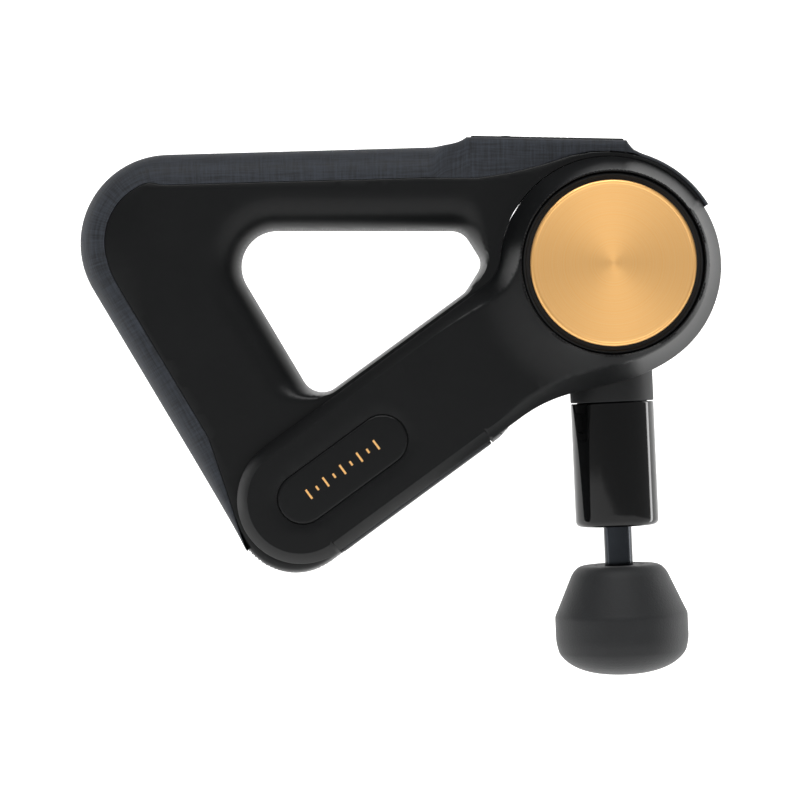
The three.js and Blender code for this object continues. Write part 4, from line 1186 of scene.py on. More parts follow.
    def grip(self) -> bpy.types.Object:
        """The soft sleeve, lofted round the bar, the corner, the leg and the hood.

        Returns:
            The grip, with its texture places in metres along and across it.
        """
        path, inward, width = self.outline.path, self.outline.inward, self.outline.width
        plateau, hood, way = self.outline.plateau, self.outline.on_hood, self.outline.way
        half = 14
        tray_half, tray_deep = 13.5, 2.3
        outer, inner, uv = [], [], []
        for i in range(len(path)):
            box = max(plateau[i], hood[i])
            power = 2.3 + 2.7 * box
            power -= 2.4 * hood[i]
            bend = min(width[i], 13.0 * (1 - box) + 4.5 * box)
            low = math.asin((tray_half / BODY_FACE) ** (power / 2))
            phi = np.linspace(low, math.pi / 2, half)
            y = np.concatenate([np.linspace(0, tray_half - 0.05, 9), BODY_FACE * np.sin(phi) ** (2 / power)])
            d = bend * (1 - (1 - np.minimum(y / BODY_FACE, 1) ** power) ** (1 / power))
            if -53.8 < path[i, 0] < 6.1:
                d[:9] += tray_deep
            flats = np.linspace(0, 1, 6)[1:] * (width[i] - bend)
            d = np.concatenate([d, bend + flats])
            y = np.concatenate([y, np.full(5, BODY_FACE)])
            y[-1] -= 0.25
            step = np.gradient(np.stack([d, y], 1), axis=0)
            norm = np.maximum(np.linalg.norm(step, axis=1), 1e-9)
            normal = np.stack([step[:, 1] / norm, -step[:, 0] / norm], 1)
            inside_d = np.minimum(d + GRIP * np.abs(normal[:, 0]), width[i])
            inside_y = np.maximum(y - GRIP * np.abs(normal[:, 1]), 0.0)
            run = np.concatenate([[0], np.cumsum(np.hypot(np.diff(d), np.diff(y)))])
            for rows, dd, yy in ((outer, d, y), (inner, inside_d, inside_y)):
                line = [(-y0, d0) for d0, y0 in zip(dd[::-1], yy[::-1])][:-1] + list(zip(yy, dd))
                rows.append([(path[i, 0] + inward[i, 0] * dd0, yy0, path[i, 1] + inward[i, 1] * dd0)
                             for yy0, dd0 in line])
            cross = np.concatenate([-run[::-1][:-1], run])
            uv.append(np.stack([np.full(len(cross), way[i]), cross], 1))
        outer_rows, inner_rows = np.array(outer), np.array(inner)
        n, m = outer_rows.shape[:2]
        rows = np.concatenate([outer_rows.reshape(-1, 3), inner_rows.reshape(-1, 3)])
        places = np.concatenate([np.array(uv).reshape(-1, 2)] * 2) * MM

        def at(layer: int, i: int, j: int) -> int:
            """The point's number from its layer, station and place round the section."""
            return layer * n * m + i * m + j

        faces = []
        for i in range(n - 1):
            for j in range(m - 1):
                faces.append((at(0, i, j), at(0, i, j + 1), at(0, i + 1, j + 1), at(0, i + 1, j)))
                faces.append((at(1, i, j), at(1, i + 1, j), at(1, i + 1, j + 1), at(1, i, j + 1)))
            for j in (0, m - 1):
                faces.append((at(0, i, j), at(1, i, j), at(1, i + 1, j), at(0, i + 1, j)))
        for i in (0, n - 1):
            for j in range(m - 1):
                faces.append((at(0, i, j), at(0, i, j + 1), at(1, i, j + 1), at(1, i, j)))
        return make_object("grip_sleeve_skin", rows, faces, 50.0, places)

    def build(self) -> None:
        """Makes the handle's pieces and settles them."""
        for side, name in ((-1, "front"), (1, "rear")):
            settle(self.shell(side), Surface.SATIN_ABS, "handle", f"{name}_shell")
            settle(self.cover(side), Surface.SATIN_ABS, "handle", f"{name}_cover")
            settle(self.badge(side), Surface.SATIN_ABS, "handle", f"{name}_badge_plate")
        settle(self.grip(), Surface.SILICONE_GRIP, "handle", "grip_sleeve")


def carved(piece: bpy.types.Object, *tools: bpy.types.Object) -> bpy.types.Object:
    """Cuts tools out of a piece and removes them.

    Args:
        piece: The piece that is cut.
        tools: Closed meshes; each is deleted afterwards.

    Returns:
        The piece with its new mesh.
    """
    for tool in tools:
        cutter = piece.modifiers.new("cut", "BOOLEAN")
        cutter.operation, cutter.solver, cutter.object = "DIFFERENCE", "EXACT", tool
    bpy.context.view_layer.update()
    graph = bpy.context.evaluated_depsgraph_get()
    mesh = bpy.data.meshes.new_from_object(piece.evaluated_get(graph))
    piece.modifiers.clear()
    piece.data = mesh
    mesh.shade_smooth()
    mesh.set_sharp_from_angle(angle=38 * DEG)
    for tool in tools:
        bpy.data.objects.remove(tool)
    return piece


def box_tool(
    low: tuple[float, float, float], high: tuple[float, float, float], place: Placer,
) -> bpy.types.Object:
    """A straight block to cut with, from its two corners."""
    rows = [(x, y, z) for x in (low[0], high[0]) for y in (low[1], high[1]) for z in (low[2], high[2])]
    faces = [(0, 1, 3, 2), (4, 6, 7, 5), (0, 4, 5, 1), (2, 3, 7, 6), (0, 2, 6, 4), (1, 5, 7, 3)]
    return make_object("tool", place(np.array(rows, float)), faces)


# ---- head: discs, drum and snout -----------------------------------------------------------------
@dataclass
class Head:
    """The discs on both sides of the head, and the drum that turns between the covers."""

    disc_r: float = 31.6
    front_face: float = -35.7
    rear_face: float = 35.4
    hub_r: float = 29.0
    hub_face: float = 27.0

    def front_disc(self) -> bpy.types.Object:
        """The spun metal disc with its turned bright edge."""
        face = self.front_face
        profile = softened([
            (0.0, face + 0.12, 0), (self.disc_r - 1.5, face + 0.12, 0.1), (self.disc_r - 1.2, face, 0.15),
            (self.disc_r - 0.5, face, 0.2), (self.disc_r, face + 0.5, 0.15), (self.disc_r, face + 2.3, 0.3),
            (self.disc_r - 0.6, face + 2.3, 0), (0.0, face + 2.3, 0),
        ], 3)
        return turned("front_spun_disc", profile, 192, as_drawn, crease=30)

    def carrier(self) -> bpy.types.Object:
        """The dark plate behind the front disc, with a raised rim."""
        profile = softened([
            (0.0, -33.0, 0), (33.0, -33.0, 0.2), (33.5, -33.4, 0.2), (34.1, -33.4, 0.2), (34.5, -33.0, 0.2),
            (34.5, -31.4, 0.2), (0.0, -31.4, 0),
        ], 3)
        return turned("disc_carrier_plate", profile, 160, as_drawn, crease=30)

    def lock_button(self) -> bpy.types.Object:
        """The rear disc, pressed to free the arm's swivel: a shallow dish with a finger hollow."""
        face, r = self.rear_face, self.disc_r
        profile = softened([
            (0.0, face - 0.9, 0), (11.0, face - 0.75, 3.0), (14.0, face - 0.1, 1.5),
            (r - 1.5, face - 0.1, 0.1), (r - 1.2, face, 0.15), (r - 0.5, face, 0.2),
            (r, face - 0.5, 0.15), (r, 31.0, 0.3), (r - 2, 31.0, 0.3),
            (r - 2, 33.0, 0.3), (4.4, 33.0, 0.3), (4.4, 24.0, 0.6), (0.0, 24.0, 0),
        ], 3)
        return turned("rear_lock_disc", profile, 192, as_drawn, crease=30)

    def drum(self, side: int) -> bpy.types.Object:
        """One half of the drum, hollow for the motor, with the plunger's port."""
        rows = [
            (5.0, 25.0, 0), (5.0, self.hub_face, 0.2), (self.hub_r, self.hub_face, 0.6),
            (self.hub_r, BODY_FACE, 0.4),
            (DRUM_R, BODY_FACE, 0.9), (DRUM_R, 0.15, 0.3), (DRUM_R - 2.8, 0.15, 0), (DRUM_R - 2.8, 14.6, 0.8),
            (26.5, 14.6, 0.5), (26.5, 25.0, 0.8), (5.0, 25.0, 0),
        ]
        profile = softened(rows, 4)[:-1]
        name = "front_head_drum" if side < 0 else "rear_head_drum"

        def flip(rows: Points) -> Points:
            """Turns the front half's rows to the drum's side."""
            return along_snout(np.stack([rows[:, 0], side * rows[:, 1], rows[:, 2]], 1))

        port = turned("tool", np.array([(0, 20.0), (6.6, 20.0), (6.6, 60.0), (0, 60.0)]), 40, down_snout)
        return carved(turned(name, profile, 176, flip, closed=True), port)

    def build(self) -> None:
        """Makes the head's pieces and settles them."""
        settle(self.front_disc(), Surface.GOLD_METAL, "handle", "front_disc")
        settle(self.carrier(), Surface.MATTE_PLASTIC, "handle", "disc_carrier")
        settle(self.lock_button(), Surface.GOLD_METAL, "arm_lock", "arm_lock_button")
        settle(self.drum(-1), Surface.SATIN_ABS, "snout", "front_drum")
        settle(self.drum(1), Surface.SATIN_ABS, "snout", "rear_drum")


@dataclass
class Snout:
    """The collar, gloss sleeve, rod and foam head; distances run down the snout."""

    collar_end: float = 52.7
    sleeve_start: float = 53.0
    sleeve_end: float = 101.4
    wall: float = 2.3
    rod_r: float = 5.5
    rod_start: float = 32.2
    rod_end: float = 138.0
    foam_top: float = 116.7
    foam_end: float = 159.6
    foam_r: float = 26.0

    def collar(self) -> bpy.types.Object:
        """The matt collar, its top seated on the drum's rim."""
        seat = DRUM_R + 0.3
        profile = softened([
            (8.0, 0.0, 0), (SNOUT_R, 0.0, 0), (SNOUT_R, 49.0, 0), (SNOUT_R, self.collar_end, 0.5),
            (13.7, self.collar_end, 0), (13.7, self.collar_end + 1.6, 0), (8.0, self.collar_end + 1.6, 0),
        ], 5)

        def place(rows: Points) -> Points:
            """Seats the collar's upper edge on the drum."""
            over = seat**2 - rows[:, 0] ** 2
            rows = rows.copy()
            rows[:, 1] = np.where(rows[:, 1] < 1, np.sqrt(over), rows[:, 1])
            return down_snout(rows)

        return turned("snout_collar_ring", profile, 112, place, closed=True)

    def sleeve(self) -> bpy.types.Object:
        """The polished sleeve with a rounded lower lip."""
        profile = softened([
            (SNOUT_R - self.wall, self.sleeve_start, 0), (SNOUT_R, self.sleeve_start, 0.6),
            (SNOUT_R, self.sleeve_end - 5, 0), (SNOUT_R, self.sleeve_end, 2.6), (8.5, self.sleeve_end, 0.5),
            (8.5, self.sleeve_end - 3.4, 0.3), (SNOUT_R - self.wall, self.sleeve_end - 3.4, 0),
        ], 7)
        return turned("snout_gloss_sleeve", profile, 144, down_snout, closed=True)

    def rod(self) -> bpy.types.Object:
        """The plunger: a bright-edged rod with a fork for the connecting rod."""
        r = self.rod_r
        profile = softened([
            (0.0, self.rod_start, 0), (r - 0.4, self.rod_start, 0.3), (r, self.rod_start + 0.8, 0.3),
            (r, self.rod_end - 1.2, 0.4), (r - 1.0, self.rod_end, 0.3), (0.0, self.rod_end, 0),
        ], 4)
        slot = box_tool((-12, -2.7, -43.2), (12, 2.7, -self.rod_start + 2), along_snout)
        return carved(turned("plunger_rod", profile, 72, down_snout), slot)

    def foam(self) -> bpy.types.Object:
        """The foam head: a flat top, a cone, a straight band and a low dome."""
        band_top, band_low = self.foam_end - 25.2, self.foam_end - 13.2
        rows = [(9.0, self.foam_top + 0.6, 0), (10.2, self.foam_top, 0.6), (15.6, self.foam_top, 2.6),
                (18.4, self.foam_top + 2.6, 2.2), (self.foam_r - 0.9, band_top, 1.6),
                (self.foam_r, band_top + 1.8, 1.4), (self.foam_r, band_low, 3.0)]
        for angle in np.linspace(0.2, 1.0, 12) * math.pi / 2:
            reach = self.foam_r * max(math.cos(angle), 0.0) ** 0.8
            rows.append((reach, band_low + 13.2 * math.sin(angle), 0.6))
        rows[-1] = (0.0, self.foam_end, 0)
        rows = [*rows, (0.0, 141.0, 0), (9.3, 141.0, 0.3), (9.3, self.foam_top + 0.6, 0)]
        profile = softened(rows[:-1] + [(9.0, self.foam_top + 0.7, 0)], 5)
        return turned("foam_massage_head", profile, 144, down_snout, closed=True, crease=60)

    def build(self) -> None:
        """Makes the snout's pieces and settles them."""
        settle(self.collar(), Surface.MATTE_PLASTIC, "snout", "snout_collar")
        settle(self.sleeve(), Surface.GLOSS_PLASTIC, "snout", "snout_sleeve")
        settle(self.rod(), Surface.BLACK_STEEL, "plunger", "plunger_shaft")
        foam = settle(self.foam(), Surface.FOAM, "attachment", "foam_head")


# ---- controls and battery ------------------------------------------------------------------------
@dataclass
class Controls:
    """The panel on the bar's plateau: five keys and a small display under glass."""

    panel: tuple[float, float, float] = (-53.6, 5.9, 13.2)
    glass: tuple[float, float, float] = (-26.9, 3.9, 9.8)
    keys_at: float = -40.0
    spread: float = 7.2
    key_r: float = 2.6
    centre_r: float = 3.6

    def surface_height(self, x: np.ndarray) -> np.ndarray:
        """Height of the plateau's top at a place along the bar."""
        return BAR_TOP + 0.1 + 1.2 * (7.0 - x) / 62.0

    def plate(
        self,
        name: str,
        bounds: tuple[float, float, float],
        bend: float,
        low: float,
        high: float,
        holes: Sequence[Points] = (),
    ) -> bpy.types.Object:
        """A flat plate that follows the plateau, with rounded upper edges.

        Args:
            name: The piece's name.
            bounds: Its two ends along X and its half width.
            bend: Radius of its corners.
            low: Its underside, from the plateau's top.
            high: Its upper side, from the plateau's top.
            holes: Openings through it.

        Returns:
            The plate.
        """
        start, end, half = bounds
        corners = [Corner(start, -half, bend), Corner(end, -half, bend), Corner(end, half, bend),
                   Corner(start, half, bend)]
        edge = rounded(corners, 1.0)
        rings = [rounded(grown(corners, -s), 1.2) for s in (0.1, 0.25, 0.45)]
        flat = grid((start, -half), (end, half), 2.4)
        fixed = np.concatenate([edge, *holes, *rings])
        flat = thinned(flat[inside(flat, moved_in(edge, 0.5))], fixed, 0.9)

        def keep(points: Points) -> np.ndarray:
            """Which places the plate covers."""
            kept = inside(points, edge)
            for hole in holes:
                kept &= ~inside(points, hole)
            return kept

        def place(rows: Points) -> Points:
            """Lays the plate on the plateau."""
            return np.stack([rows[:, 0], rows[:, 1], self.surface_height(rows[:, 0]) + rows[:, 2]], 1)

        def top(points: Points) -> np.ndarray:
            """The plate's upper height, eased down at its edge."""
            return low + (high - low) * 0.6 + (high - low) * 0.4 * crown(depth(points, edge) / 0.45, 2.0)

        return raised(name, [edge, *holes], np.concatenate([*rings, flat]), keep, top,
                      lambda p: np.full(len(p), low), place)

    def key(self, name: str, x: float, y: float, radius: float) -> bpy.types.Object:
        """One round key with a soft crown and a shallow hollow."""
        top = float(self.surface_height(np.array(x))) + 0.95
        profile = softened([
            (0.0, top - 0.22, 0), (radius * 0.55, top - 0.05, 0.5), (radius - 0.35, top - 0.02, 0.4),
            (radius, top - 0.6, 0.3), (radius, top - 2.5, 0.2), (0.0, top - 2.5, 0),
        ], 4)

        def place(rows: Points) -> Points:
            """Stands the key on the panel."""
            return np.stack([rows[:, 0] + x, rows[:, 2] + y, rows[:, 1]], 1)

        return turned(name, profile, 40, place)

    def build(self) -> None:
        """Makes the panel, the glass and the keys, and settles them."""
        places = {
            "key_select": (0.0, 0.0, self.centre_r),
            "key_faster": (self.spread, 0.0, self.key_r),
            "key_slower": (-self.spread, 0.0, self.key_r),
            "key_left": (0.0, -self.spread, self.key_r),
            "key_right": (0.0, self.spread, self.key_r),
        }
        start, end, half = self.glass
        window = rounded([Corner(start - 0.2, -half - 0.2, 2.2), Corner(end + 0.2, -half - 0.2, 2.2),
                          Corner(end + 0.2, half + 0.2, 2.2), Corner(start - 0.2, half + 0.2, 2.2)], 1.0)
        holes = [circle(r + 0.3, 36, self.keys_at + x, y) for x, y, r in places.values()]
        settle(self.plate("control_panel", self.panel, 0.8, -2.0, 0.35, [window, *holes]),
               Surface.MATTE_PLASTIC, "handle", "control_bezel")
        settle(self.plate("display_glass", self.glass, 2.0, -1.7, 0.62), Surface.SCREEN_GLASS, "handle",
               "screen_glass")
        for name, (x, y, radius) in places.items():
            settle(self.key(f"{name}_cap", self.keys_at + x, y, radius), Surface.MATTE_PLASTIC, name, name)


@dataclass
class Battery:
    """The battery's grained skin and its release, both in the arm's underside."""

    start: float = 77.3
    end: float = 148.7
    half: float = 17.3
    release_at: float = 67.0

    def from_below(self, rows: Points) -> Points:
        """Turns (along, across, below) rows of the arm into the head's frame."""
        spots = from_arm(rows[:, [0, 2]])
        return np.stack([spots[:, 0], rows[:, 1], spots[:, 1]], 1)

    def cap(
        self, name: str, corners: list[Corner], top: Callable, base: Callable, step: float,
    ) -> bpy.types.Object:
        """A cap on the arm's underside from its outline and its two heights."""
        edge = rounded(corners, step)
        rings = [rounded(grown(corners, -s), step) for s in (0.08, 0.2, 0.24, 0.4, 0.7, 1.1, 1.6, 2.4, 3.4)]
        low, high = edge.min(0), edge.max(0)
        flat = grid(tuple(low), tuple(high), step * 1.2)
        flat = thinned(flat[inside(flat, edge)], np.concatenate([edge, *rings]), step * 0.5)
        return raised(name, [edge], np.concatenate([*rings, flat]), lambda p: inside(p, edge),
                      lambda p: top(p, edge), base, self.from_below)

    def skin(self) -> bpy.types.Object:
        """The skin over the battery, wrapped round the arm's lower edges."""
        corners = [Corner(self.start, -self.half, 2.5), Corner(self.end, -self.half, 2.5),
                   Corner(self.end, self.half, 2.5), Corner(self.start, self.half, 2.5)]

        def top(points: Points, edge: Points) -> np.ndarray:
            """The skin's outer distance from the arm's centre line."""
            across = np.clip(np.abs(points[:, 1]) / self.half, 0, 1)
            ends = np.minimum(points[:, 0] - self.start, self.end - points[:, 0])
            return 24.7 + 4.1 * (1 - across**6) ** (1 / 6) - 0.6 * (1 - crown(ends / 0.9, 2.0))

        def base(points: Points) -> np.ndarray:
            """The skin's inner distance, wrapped over the case."""
            return np.where(np.abs(points[:, 1]) < self.half - 0.21, 27.3, 24.65)

        return self.cap("battery_grained_skin", corners, top, base, 1.8)

    def release(self) -> bpy.types.Object:
        """The ribbed button that frees the battery."""
        x0, x1, half = self.release_at - 5, self.release_at + 5, 7.0
        corners = [Corner(x0, -half, 1.6), Corner(x1, -half, 1.6),
                   Corner(x1, half, 1.6), Corner(x0, half, 1.6)]

        def top(points: Points, edge: Points) -> np.ndarray:
            """A dished button with five ribs across it."""
            into = depth(points, edge)
            ribs = 0.35 * np.maximum(np.cos((points[:, 0] - self.release_at) * 2 * math.pi / 1.9), 0)
            slope = underside(points[:, 0]) - 1.1
            return slope + 1.0 * crown(into / 1.0, 2.0) + ribs * eased((into - 1.4) / 0.8)

        return self.cap("battery_release_button", corners, top, lambda p: np.full(len(p), 22.0), 0.6)

    def build(self) -> None:
        """Makes the skin and the release and settles them."""
        settle(self.skin(), Surface.GRAINED_SKIN, "battery", "battery_skin")
        settle(self.release(), Surface.MATTE_PLASTIC, "release", "battery_release")


# ---- repeated pieces, by Geometry Nodes -------------------------------------------------------------
@dataclass
class NodeTree:
    """A Geometry Nodes tree being built, with named inputs."""

    name: str
    tree: bpy.types.NodeTree = None
    sockets: dict = field(default_factory=dict)

    def __post_init__(self) -> None:
        """Starts the tree with a geometry input and output."""
        self.tree = bpy.data.node_groups.new(self.name, "GeometryNodeTree")
        self.tree.interface.new_socket("Geometry", in_out="OUTPUT", socket_type="NodeSocketGeometry")
        self.tree.interface.new_socket("Geometry", in_out="INPUT", socket_type="NodeSocketGeometry")
        self.group_in = None

    def size(self, name: str, value: float) -> None:
        """Adds a named length input, in metres."""
        made = self.tree.interface.new_socket(name, in_out="INPUT", socket_type="NodeSocketFloat")
        made.default_value = value
        self.sockets[name] = (made.identifier, value)

    def node(self, kind: str, links: dict | None = None, **settings) -> bpy.types.Node:
        """Adds a node to the tree."""
        return add(self.tree, kind, links, **settings)

    def finish(self, geometry: bpy.types.NodeSocket, surface: Surface) -> None:
        """Ends the tree: real geometry with its material."""
        real = self.node("GeometryNodeRealizeInstances", {0: geometry})
        dressed = self.node("GeometryNodeSetMaterial", {
            0: real.outputs[0], "Material": surface.value.material(),
        })
        self.node("NodeGroupOutput", {0: dressed.outputs[0]})

    def grow(self, name: str, points: Points) -> bpy.types.Object:
        """Runs the tree on bare points and keeps the result as a plain mesh.

        Args:
            name: The piece's name.
            points: Places in millimetres in the head's frame.

        Returns:
            The piece, with no modifier left on it.
        """
        mesh = bpy.data.meshes.new(name)
        mesh.from_pydata((points * MM + HEAD).tolist(), [], [])
        piece = bpy.data.objects.new(name, mesh)
        bpy.context.scene.collection.objects.link(piece)
        modifier = piece.modifiers.new(self.name, "NODES")
        modifier.node_group = self.tree
        for identifier, value in self.sockets.values():
            modifier[identifier] = value
        bpy.context.view_layer.update()
        graph = bpy.context.evaluated_depsgraph_get()
        made = bpy.data.meshes.new_from_object(piece.evaluated_get(graph))
        piece.modifiers.clear()
        piece.data = made
        made.shade_smooth()
        made.set_sharp_from_angle(angle=35 * DEG)
        return piece


@dataclass
class Fasteners:
    """The case screws: pan heads with a cross recess, set into the rear shell."""

    head_r: float = 2.9
    shank_r: float = 1.5
    head_low: float = 12.3
    head_high: float = 14.6
    tip: float = -8.0

    def places(self) -> list[tuple[float, float]]:
        """Where the frame puts the screws, in the handle's plane."""
        spots = []
        for number in range(1, 7):
            (x0, x1), (z0, z1) = extent(f"case_screw_{number}", 0), extent(f"case_screw_{number}", 2)
            spots.append(((x0 + x1) / 2, (z0 + z1) / 2))
        return spots

    def build(self) -> None:
        """Grows the six screws and settles them."""
        tree = NodeTree("Case screws")
        tree.size("Head radius", self.head_r * MM)
        tree.size("Shank radius", self.shank_r * MM)
        tree.size("Recess width", 0.9 * MM)
        given = tree.node("NodeGroupInput")
        head_tall, shank_long = (self.head_high - self.head_low) * MM, (self.head_low - self.tip) * MM
        head = tree.node("GeometryNodeMeshCylinder", {
            "Vertices": 32, "Radius": given.outputs["Head radius"], "Depth": head_tall,
        })
        shank = tree.node("GeometryNodeMeshCylinder", {
            "Vertices": 20, "Radius": given.outputs["Shank radius"], "Depth": shank_long + 0.0004,
        })
        low_shank = tree.node("GeometryNodeTransform", {
            0: shank.outputs[0], "Translation": (0.0, 0.0, -(head_tall + shank_long) / 2 + 0.0002),
        })
        cuts = []
        for axis in (0, 1):
            size = tree.node("ShaderNodeCombineXYZ", {"Z": 1.6 * MM})
            size.inputs[axis].default_value = 3.6 * MM
            tree.tree.links.new(given.outputs["Recess width"], size.inputs[1 - axis])
            cube = tree.node("GeometryNodeMeshCube", {"Size": size.outputs[0]})
            cuts.append(tree.node("GeometryNodeTransform", {
                0: cube.outputs[0], "Translation": (0.0, 0.0, head_tall / 2),
            }))
        whole = tree.node("GeometryNodeMeshBoolean", operation="UNION", solver="EXACT")
        tree.tree.links.new(head.outputs[0], whole.inputs[1])
        tree.tree.links.new(low_shank.outputs[0], whole.inputs[1])
        recessed = tree.node("GeometryNodeMeshBoolean", {
            0: whole.outputs[0],
        }, operation="DIFFERENCE", solver="EXACT")
        for tool in cuts:
            tree.tree.links.new(tool.outputs[0], recessed.inputs[1])
        faced = tree.node("GeometryNodeTransform", {
            0: recessed.outputs[0], "Rotation": (-math.pi / 2, 0.0, 0.0),
        })
        set_in = tree.node("GeometryNodeInstanceOnPoints", {
            "Points": given.outputs["Geometry"], "Instance": faced.outputs[0],
        })
        tree.finish(set_in.outputs[0], Surface.STEEL)
        middle = (self.head_low + self.head_high) / 2
        points = np.array([(x, middle, z) for x, z in self.places()])
        piece = tree.grow("case_screws", points)
        settle(piece, Surface.STEEL, "handle", *[f"case_screw_{n}" for n in range(1, 7)])


@dataclass
class BadgeInlay:
    """A row of plain gold bars let into each badge, tall and short in turn."""

    count: int = 9
    pitch: float = 4.0
    tall: float = 4.2
    short: float = 1.9
    width: float = 0.8
    middle: float = 129.5
    below: float = 2.4

    def build(self) -> None:
        """Grows the bars on both badges and settles them."""
        tree = NodeTree("Badge inlay")
        tree.size("Bar width", self.width * MM)
        tree.size("Tall bar", self.tall * MM)
        tree.size("Short bar", self.short * MM)
        given = tree.node("NodeGroupInput")
        index = tree.node("GeometryNodeInputIndex")
        odd = tree.node("ShaderNodeMath", {0: index.outputs[0], 1: 2.0}, operation="MODULO")
        length = tree.node("ShaderNodeMapRange", {
            "Value": odd.outputs[0],
            "To Min": given.outputs["Tall bar"],
            "To Max": given.outputs["Short bar"],
        })
        scale = tree.node("ShaderNodeCombineXYZ", {"X": given.outputs["Bar width"], "Y": 0.0005,
                                                    "Z": length.outputs[0]})
        bar = tree.node("GeometryNodeMeshCube", {"Size": (1.0, 1.0, 1.0), "Vertices X": 2, "Vertices Y": 2,
                                                 "Vertices Z": 2})
        bars = tree.node("GeometryNodeInstanceOnPoints", {
            "Points": given.outputs["Geometry"], "Instance": bar.outputs[0],
            "Rotation": (0.0, ARM_TURN, 0.0), "Scale": scale.outputs[0],
        })
        tree.finish(bars.outputs[0], Surface.GOLD_METAL)
        for side, name in ((-1, "front"), (1, "rear")):
            along = self.middle + (np.arange(self.count) - (self.count - 1) / 2) * self.pitch
            spots = from_arm(np.stack([along, np.full(self.count, self.below)], 1))
            rows = np.stack([spots[:, 0], np.full(self.count, side * (ARM_FACE - 0.12)), spots[:, 1]], 1)
            settle(tree.grow(f"{name}_badge_inlay", rows), Surface.GOLD_METAL, "handle")


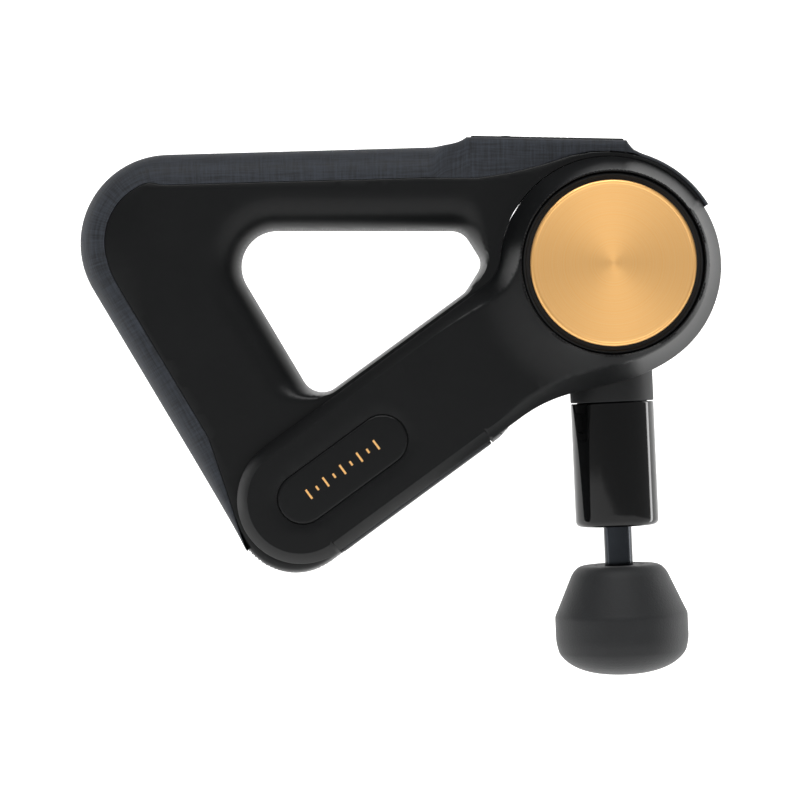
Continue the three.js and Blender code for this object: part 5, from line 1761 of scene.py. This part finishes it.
# ---- studio ------------------------------------------------------------------------------------------
@dataclass
class Studio:
    """A pale floor that sweeps up behind the object, soft lights and the camera."""

    floor: float = -0.45
    wall: float = 1.7
    bend: float = 0.5

    def backdrop(self) -> None:
        """One curved sheet for floor and wall."""
        profile = [(-6.0, self.floor)]
        for angle in np.linspace(0, math.pi / 2, 16):
            profile.append((self.wall - self.bend + self.bend * math.sin(angle),
                            self.floor + self.bend - self.bend * math.cos(angle)))
        profile.append((self.wall, 1.9))
        rows = [(x, y, z) for x in (-6.0, 6.0) for y, z in profile]
        n = len(profile)
        faces = [(i, i + n, i + n + 1, i + 1) for i in range(n - 1)]
        mesh = bpy.data.meshes.new("backdrop")
        mesh.from_pydata(rows, [], faces)
        mesh.shade_smooth()
        sheet = bpy.data.objects.new("backdrop", mesh)
        bpy.context.scene.collection.objects.link(sheet)
        paper = bpy.data.materials.new("Pale seamless paper")
        paper.use_nodes = True
        tree = paper.node_tree
        tree.nodes.clear()
        place = add(tree, "ShaderNodeTexCoord").outputs["Object"]
        fibre = add(tree, "ShaderNodeTexNoise", {"Vector": place, "Scale": 60.0})
        lift = add(tree, "ShaderNodeBump", {"Height": fibre.outputs["Fac"], "Distance": 0.0002})
        shader = add(tree, "ShaderNodeBsdfPrincipled", {
            "Base Color": linear("#f4f4f3"), "Roughness": 0.9, "Normal": lift.outputs[0],
            "Emission Color": (1.0, 1.0, 1.0, 1.0), "Emission Strength": 0.78,
        })
        add(tree, "ShaderNodeOutputMaterial", {"Surface": shader.outputs[0]})
        mesh.materials.append(paper)
        sheet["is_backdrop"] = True

    def light(self, name: str, place: tuple, size: tuple[float, float], power: float, at: tuple) -> None:
        """Adds a soft box.

        Args:
            name: The light's name.
            place: Where it stands, in metres.
            size: Its width and height.
            power: Its power in watts.
            at: The point it faces.
        """
        data = bpy.data.lights.new(name, "AREA")
        data.shape, data.size, data.size_y, data.energy = "RECTANGLE", size[0], size[1], power
        lamp = bpy.data.objects.new(name, data)
        lamp.location = place
        lamp.rotation_euler = (Vector(at) - Vector(place)).to_track_quat("-Z", "Y").to_euler()
        bpy.context.scene.collection.objects.link(lamp)

    def surroundings(self) -> None:
        """The room's own dim light, darker in front; the camera itself sees it as near white."""
        world = bpy.data.worlds.new("studio")
        world.use_nodes = True
        tree = world.node_tree
        tree.nodes.clear()
        way = add(tree, "ShaderNodeTexCoord").outputs["Generated"]
        parts = add(tree, "ShaderNodeSeparateXYZ", {0: way})
        level = add(tree, "ShaderNodeMapRange", {
            "Value": parts.outputs["Y"], "From Min": -0.95, "From Max": 0.1, "To Min": 0.34, "To Max": 0.42,
        })
        room = add(tree, "ShaderNodeBackground", {
            "Color": (1.0, 1.0, 1.0, 1.0), "Strength": level.outputs[0],
        })
        seen = add(tree, "ShaderNodeBackground", {"Color": (1.0, 1.0, 1.0, 1.0), "Strength": 0.95})
        path = add(tree, "ShaderNodeLightPath").outputs["Is Camera Ray"]
        both = add(tree, "ShaderNodeMixShader", {0: path, 1: room.outputs[0], 2: seen.outputs[0]})
        add(tree, "ShaderNodeOutputWorld", {"Surface": both.outputs[0]})
        bpy.context.scene.world = world

    def camera(self) -> None:
        """A long lens, square on to the front side."""
        data = bpy.data.cameras.new("camera")
        data.lens, data.sensor_width = 114.5, 36.0
        data.clip_start, data.clip_end = 0.01, 20.0
        eye = bpy.data.objects.new("camera", data)
        eye.location = (0.023, -1.0, -0.084)
        eye.rotation_euler = (math.pi / 2, 0.0, 0.0)
        bpy.context.scene.collection.objects.link(eye)
        bpy.context.scene.camera = eye

    def build(self) -> None:
        """Sets the whole studio up."""
        self.backdrop()
        self.surroundings()
        self.camera()
        middle = (0.02, 0.0, -0.08)
        self.light("top soft box", (0.0, -0.42, 0.62), (0.7, 0.4), 5.0, middle)
        self.light("low soft box", (0.05, -0.5, -0.75), (0.5, 0.3), 0.2, middle)
        self.light("left soft box", (-0.85, 0.2, 0.1), (0.18, 0.9), 2.0, middle)
        self.light("right soft box", (0.9, 0.24, 0.0), (0.14, 0.9), 3.0, middle)
        bpy.context.scene.view_settings.view_transform = "Standard"


def dress_frame(slots: dict[str, str]) -> None:
    """Gives every CAD node that still shows its procedural finish.

    Args:
        slots: Each node's slot in the record.
    """
    for name, node in frame["nodes"].items():
        if node.hide_render:
            continue
        surface = Surface[slots[name].upper()]
        surface.put_on(node)
        LOG.info("%s: frame node in %s", name, surface.name)


def corners(box: tuple[Vector, Vector]) -> list[list[float]]:
    """A box's two corners as plain lists."""
    return [list(box[0]), list(box[1])]


def main() -> None:
    """Builds the gun's looks, piece by piece, and the studio round it."""
    logging.basicConfig(level=logging.INFO, format="%(message)s")
    cad_box = corners(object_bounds())
    fasteners = Fasteners()
    Handle(Outline(), screws=fasteners.places()).build()
    Head().build()
    Snout().build()
    Controls().build()
    Battery().build()
    fasteners.build()
    BadgeInlay().build()
    dress_frame({row["node"]: row["material_slot"] for row in frame["record"]["subparts"]})
    Studio().build()
    {"cad": cad_box, "visual": corners(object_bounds())}


if __name__ == "__main__":
    main()
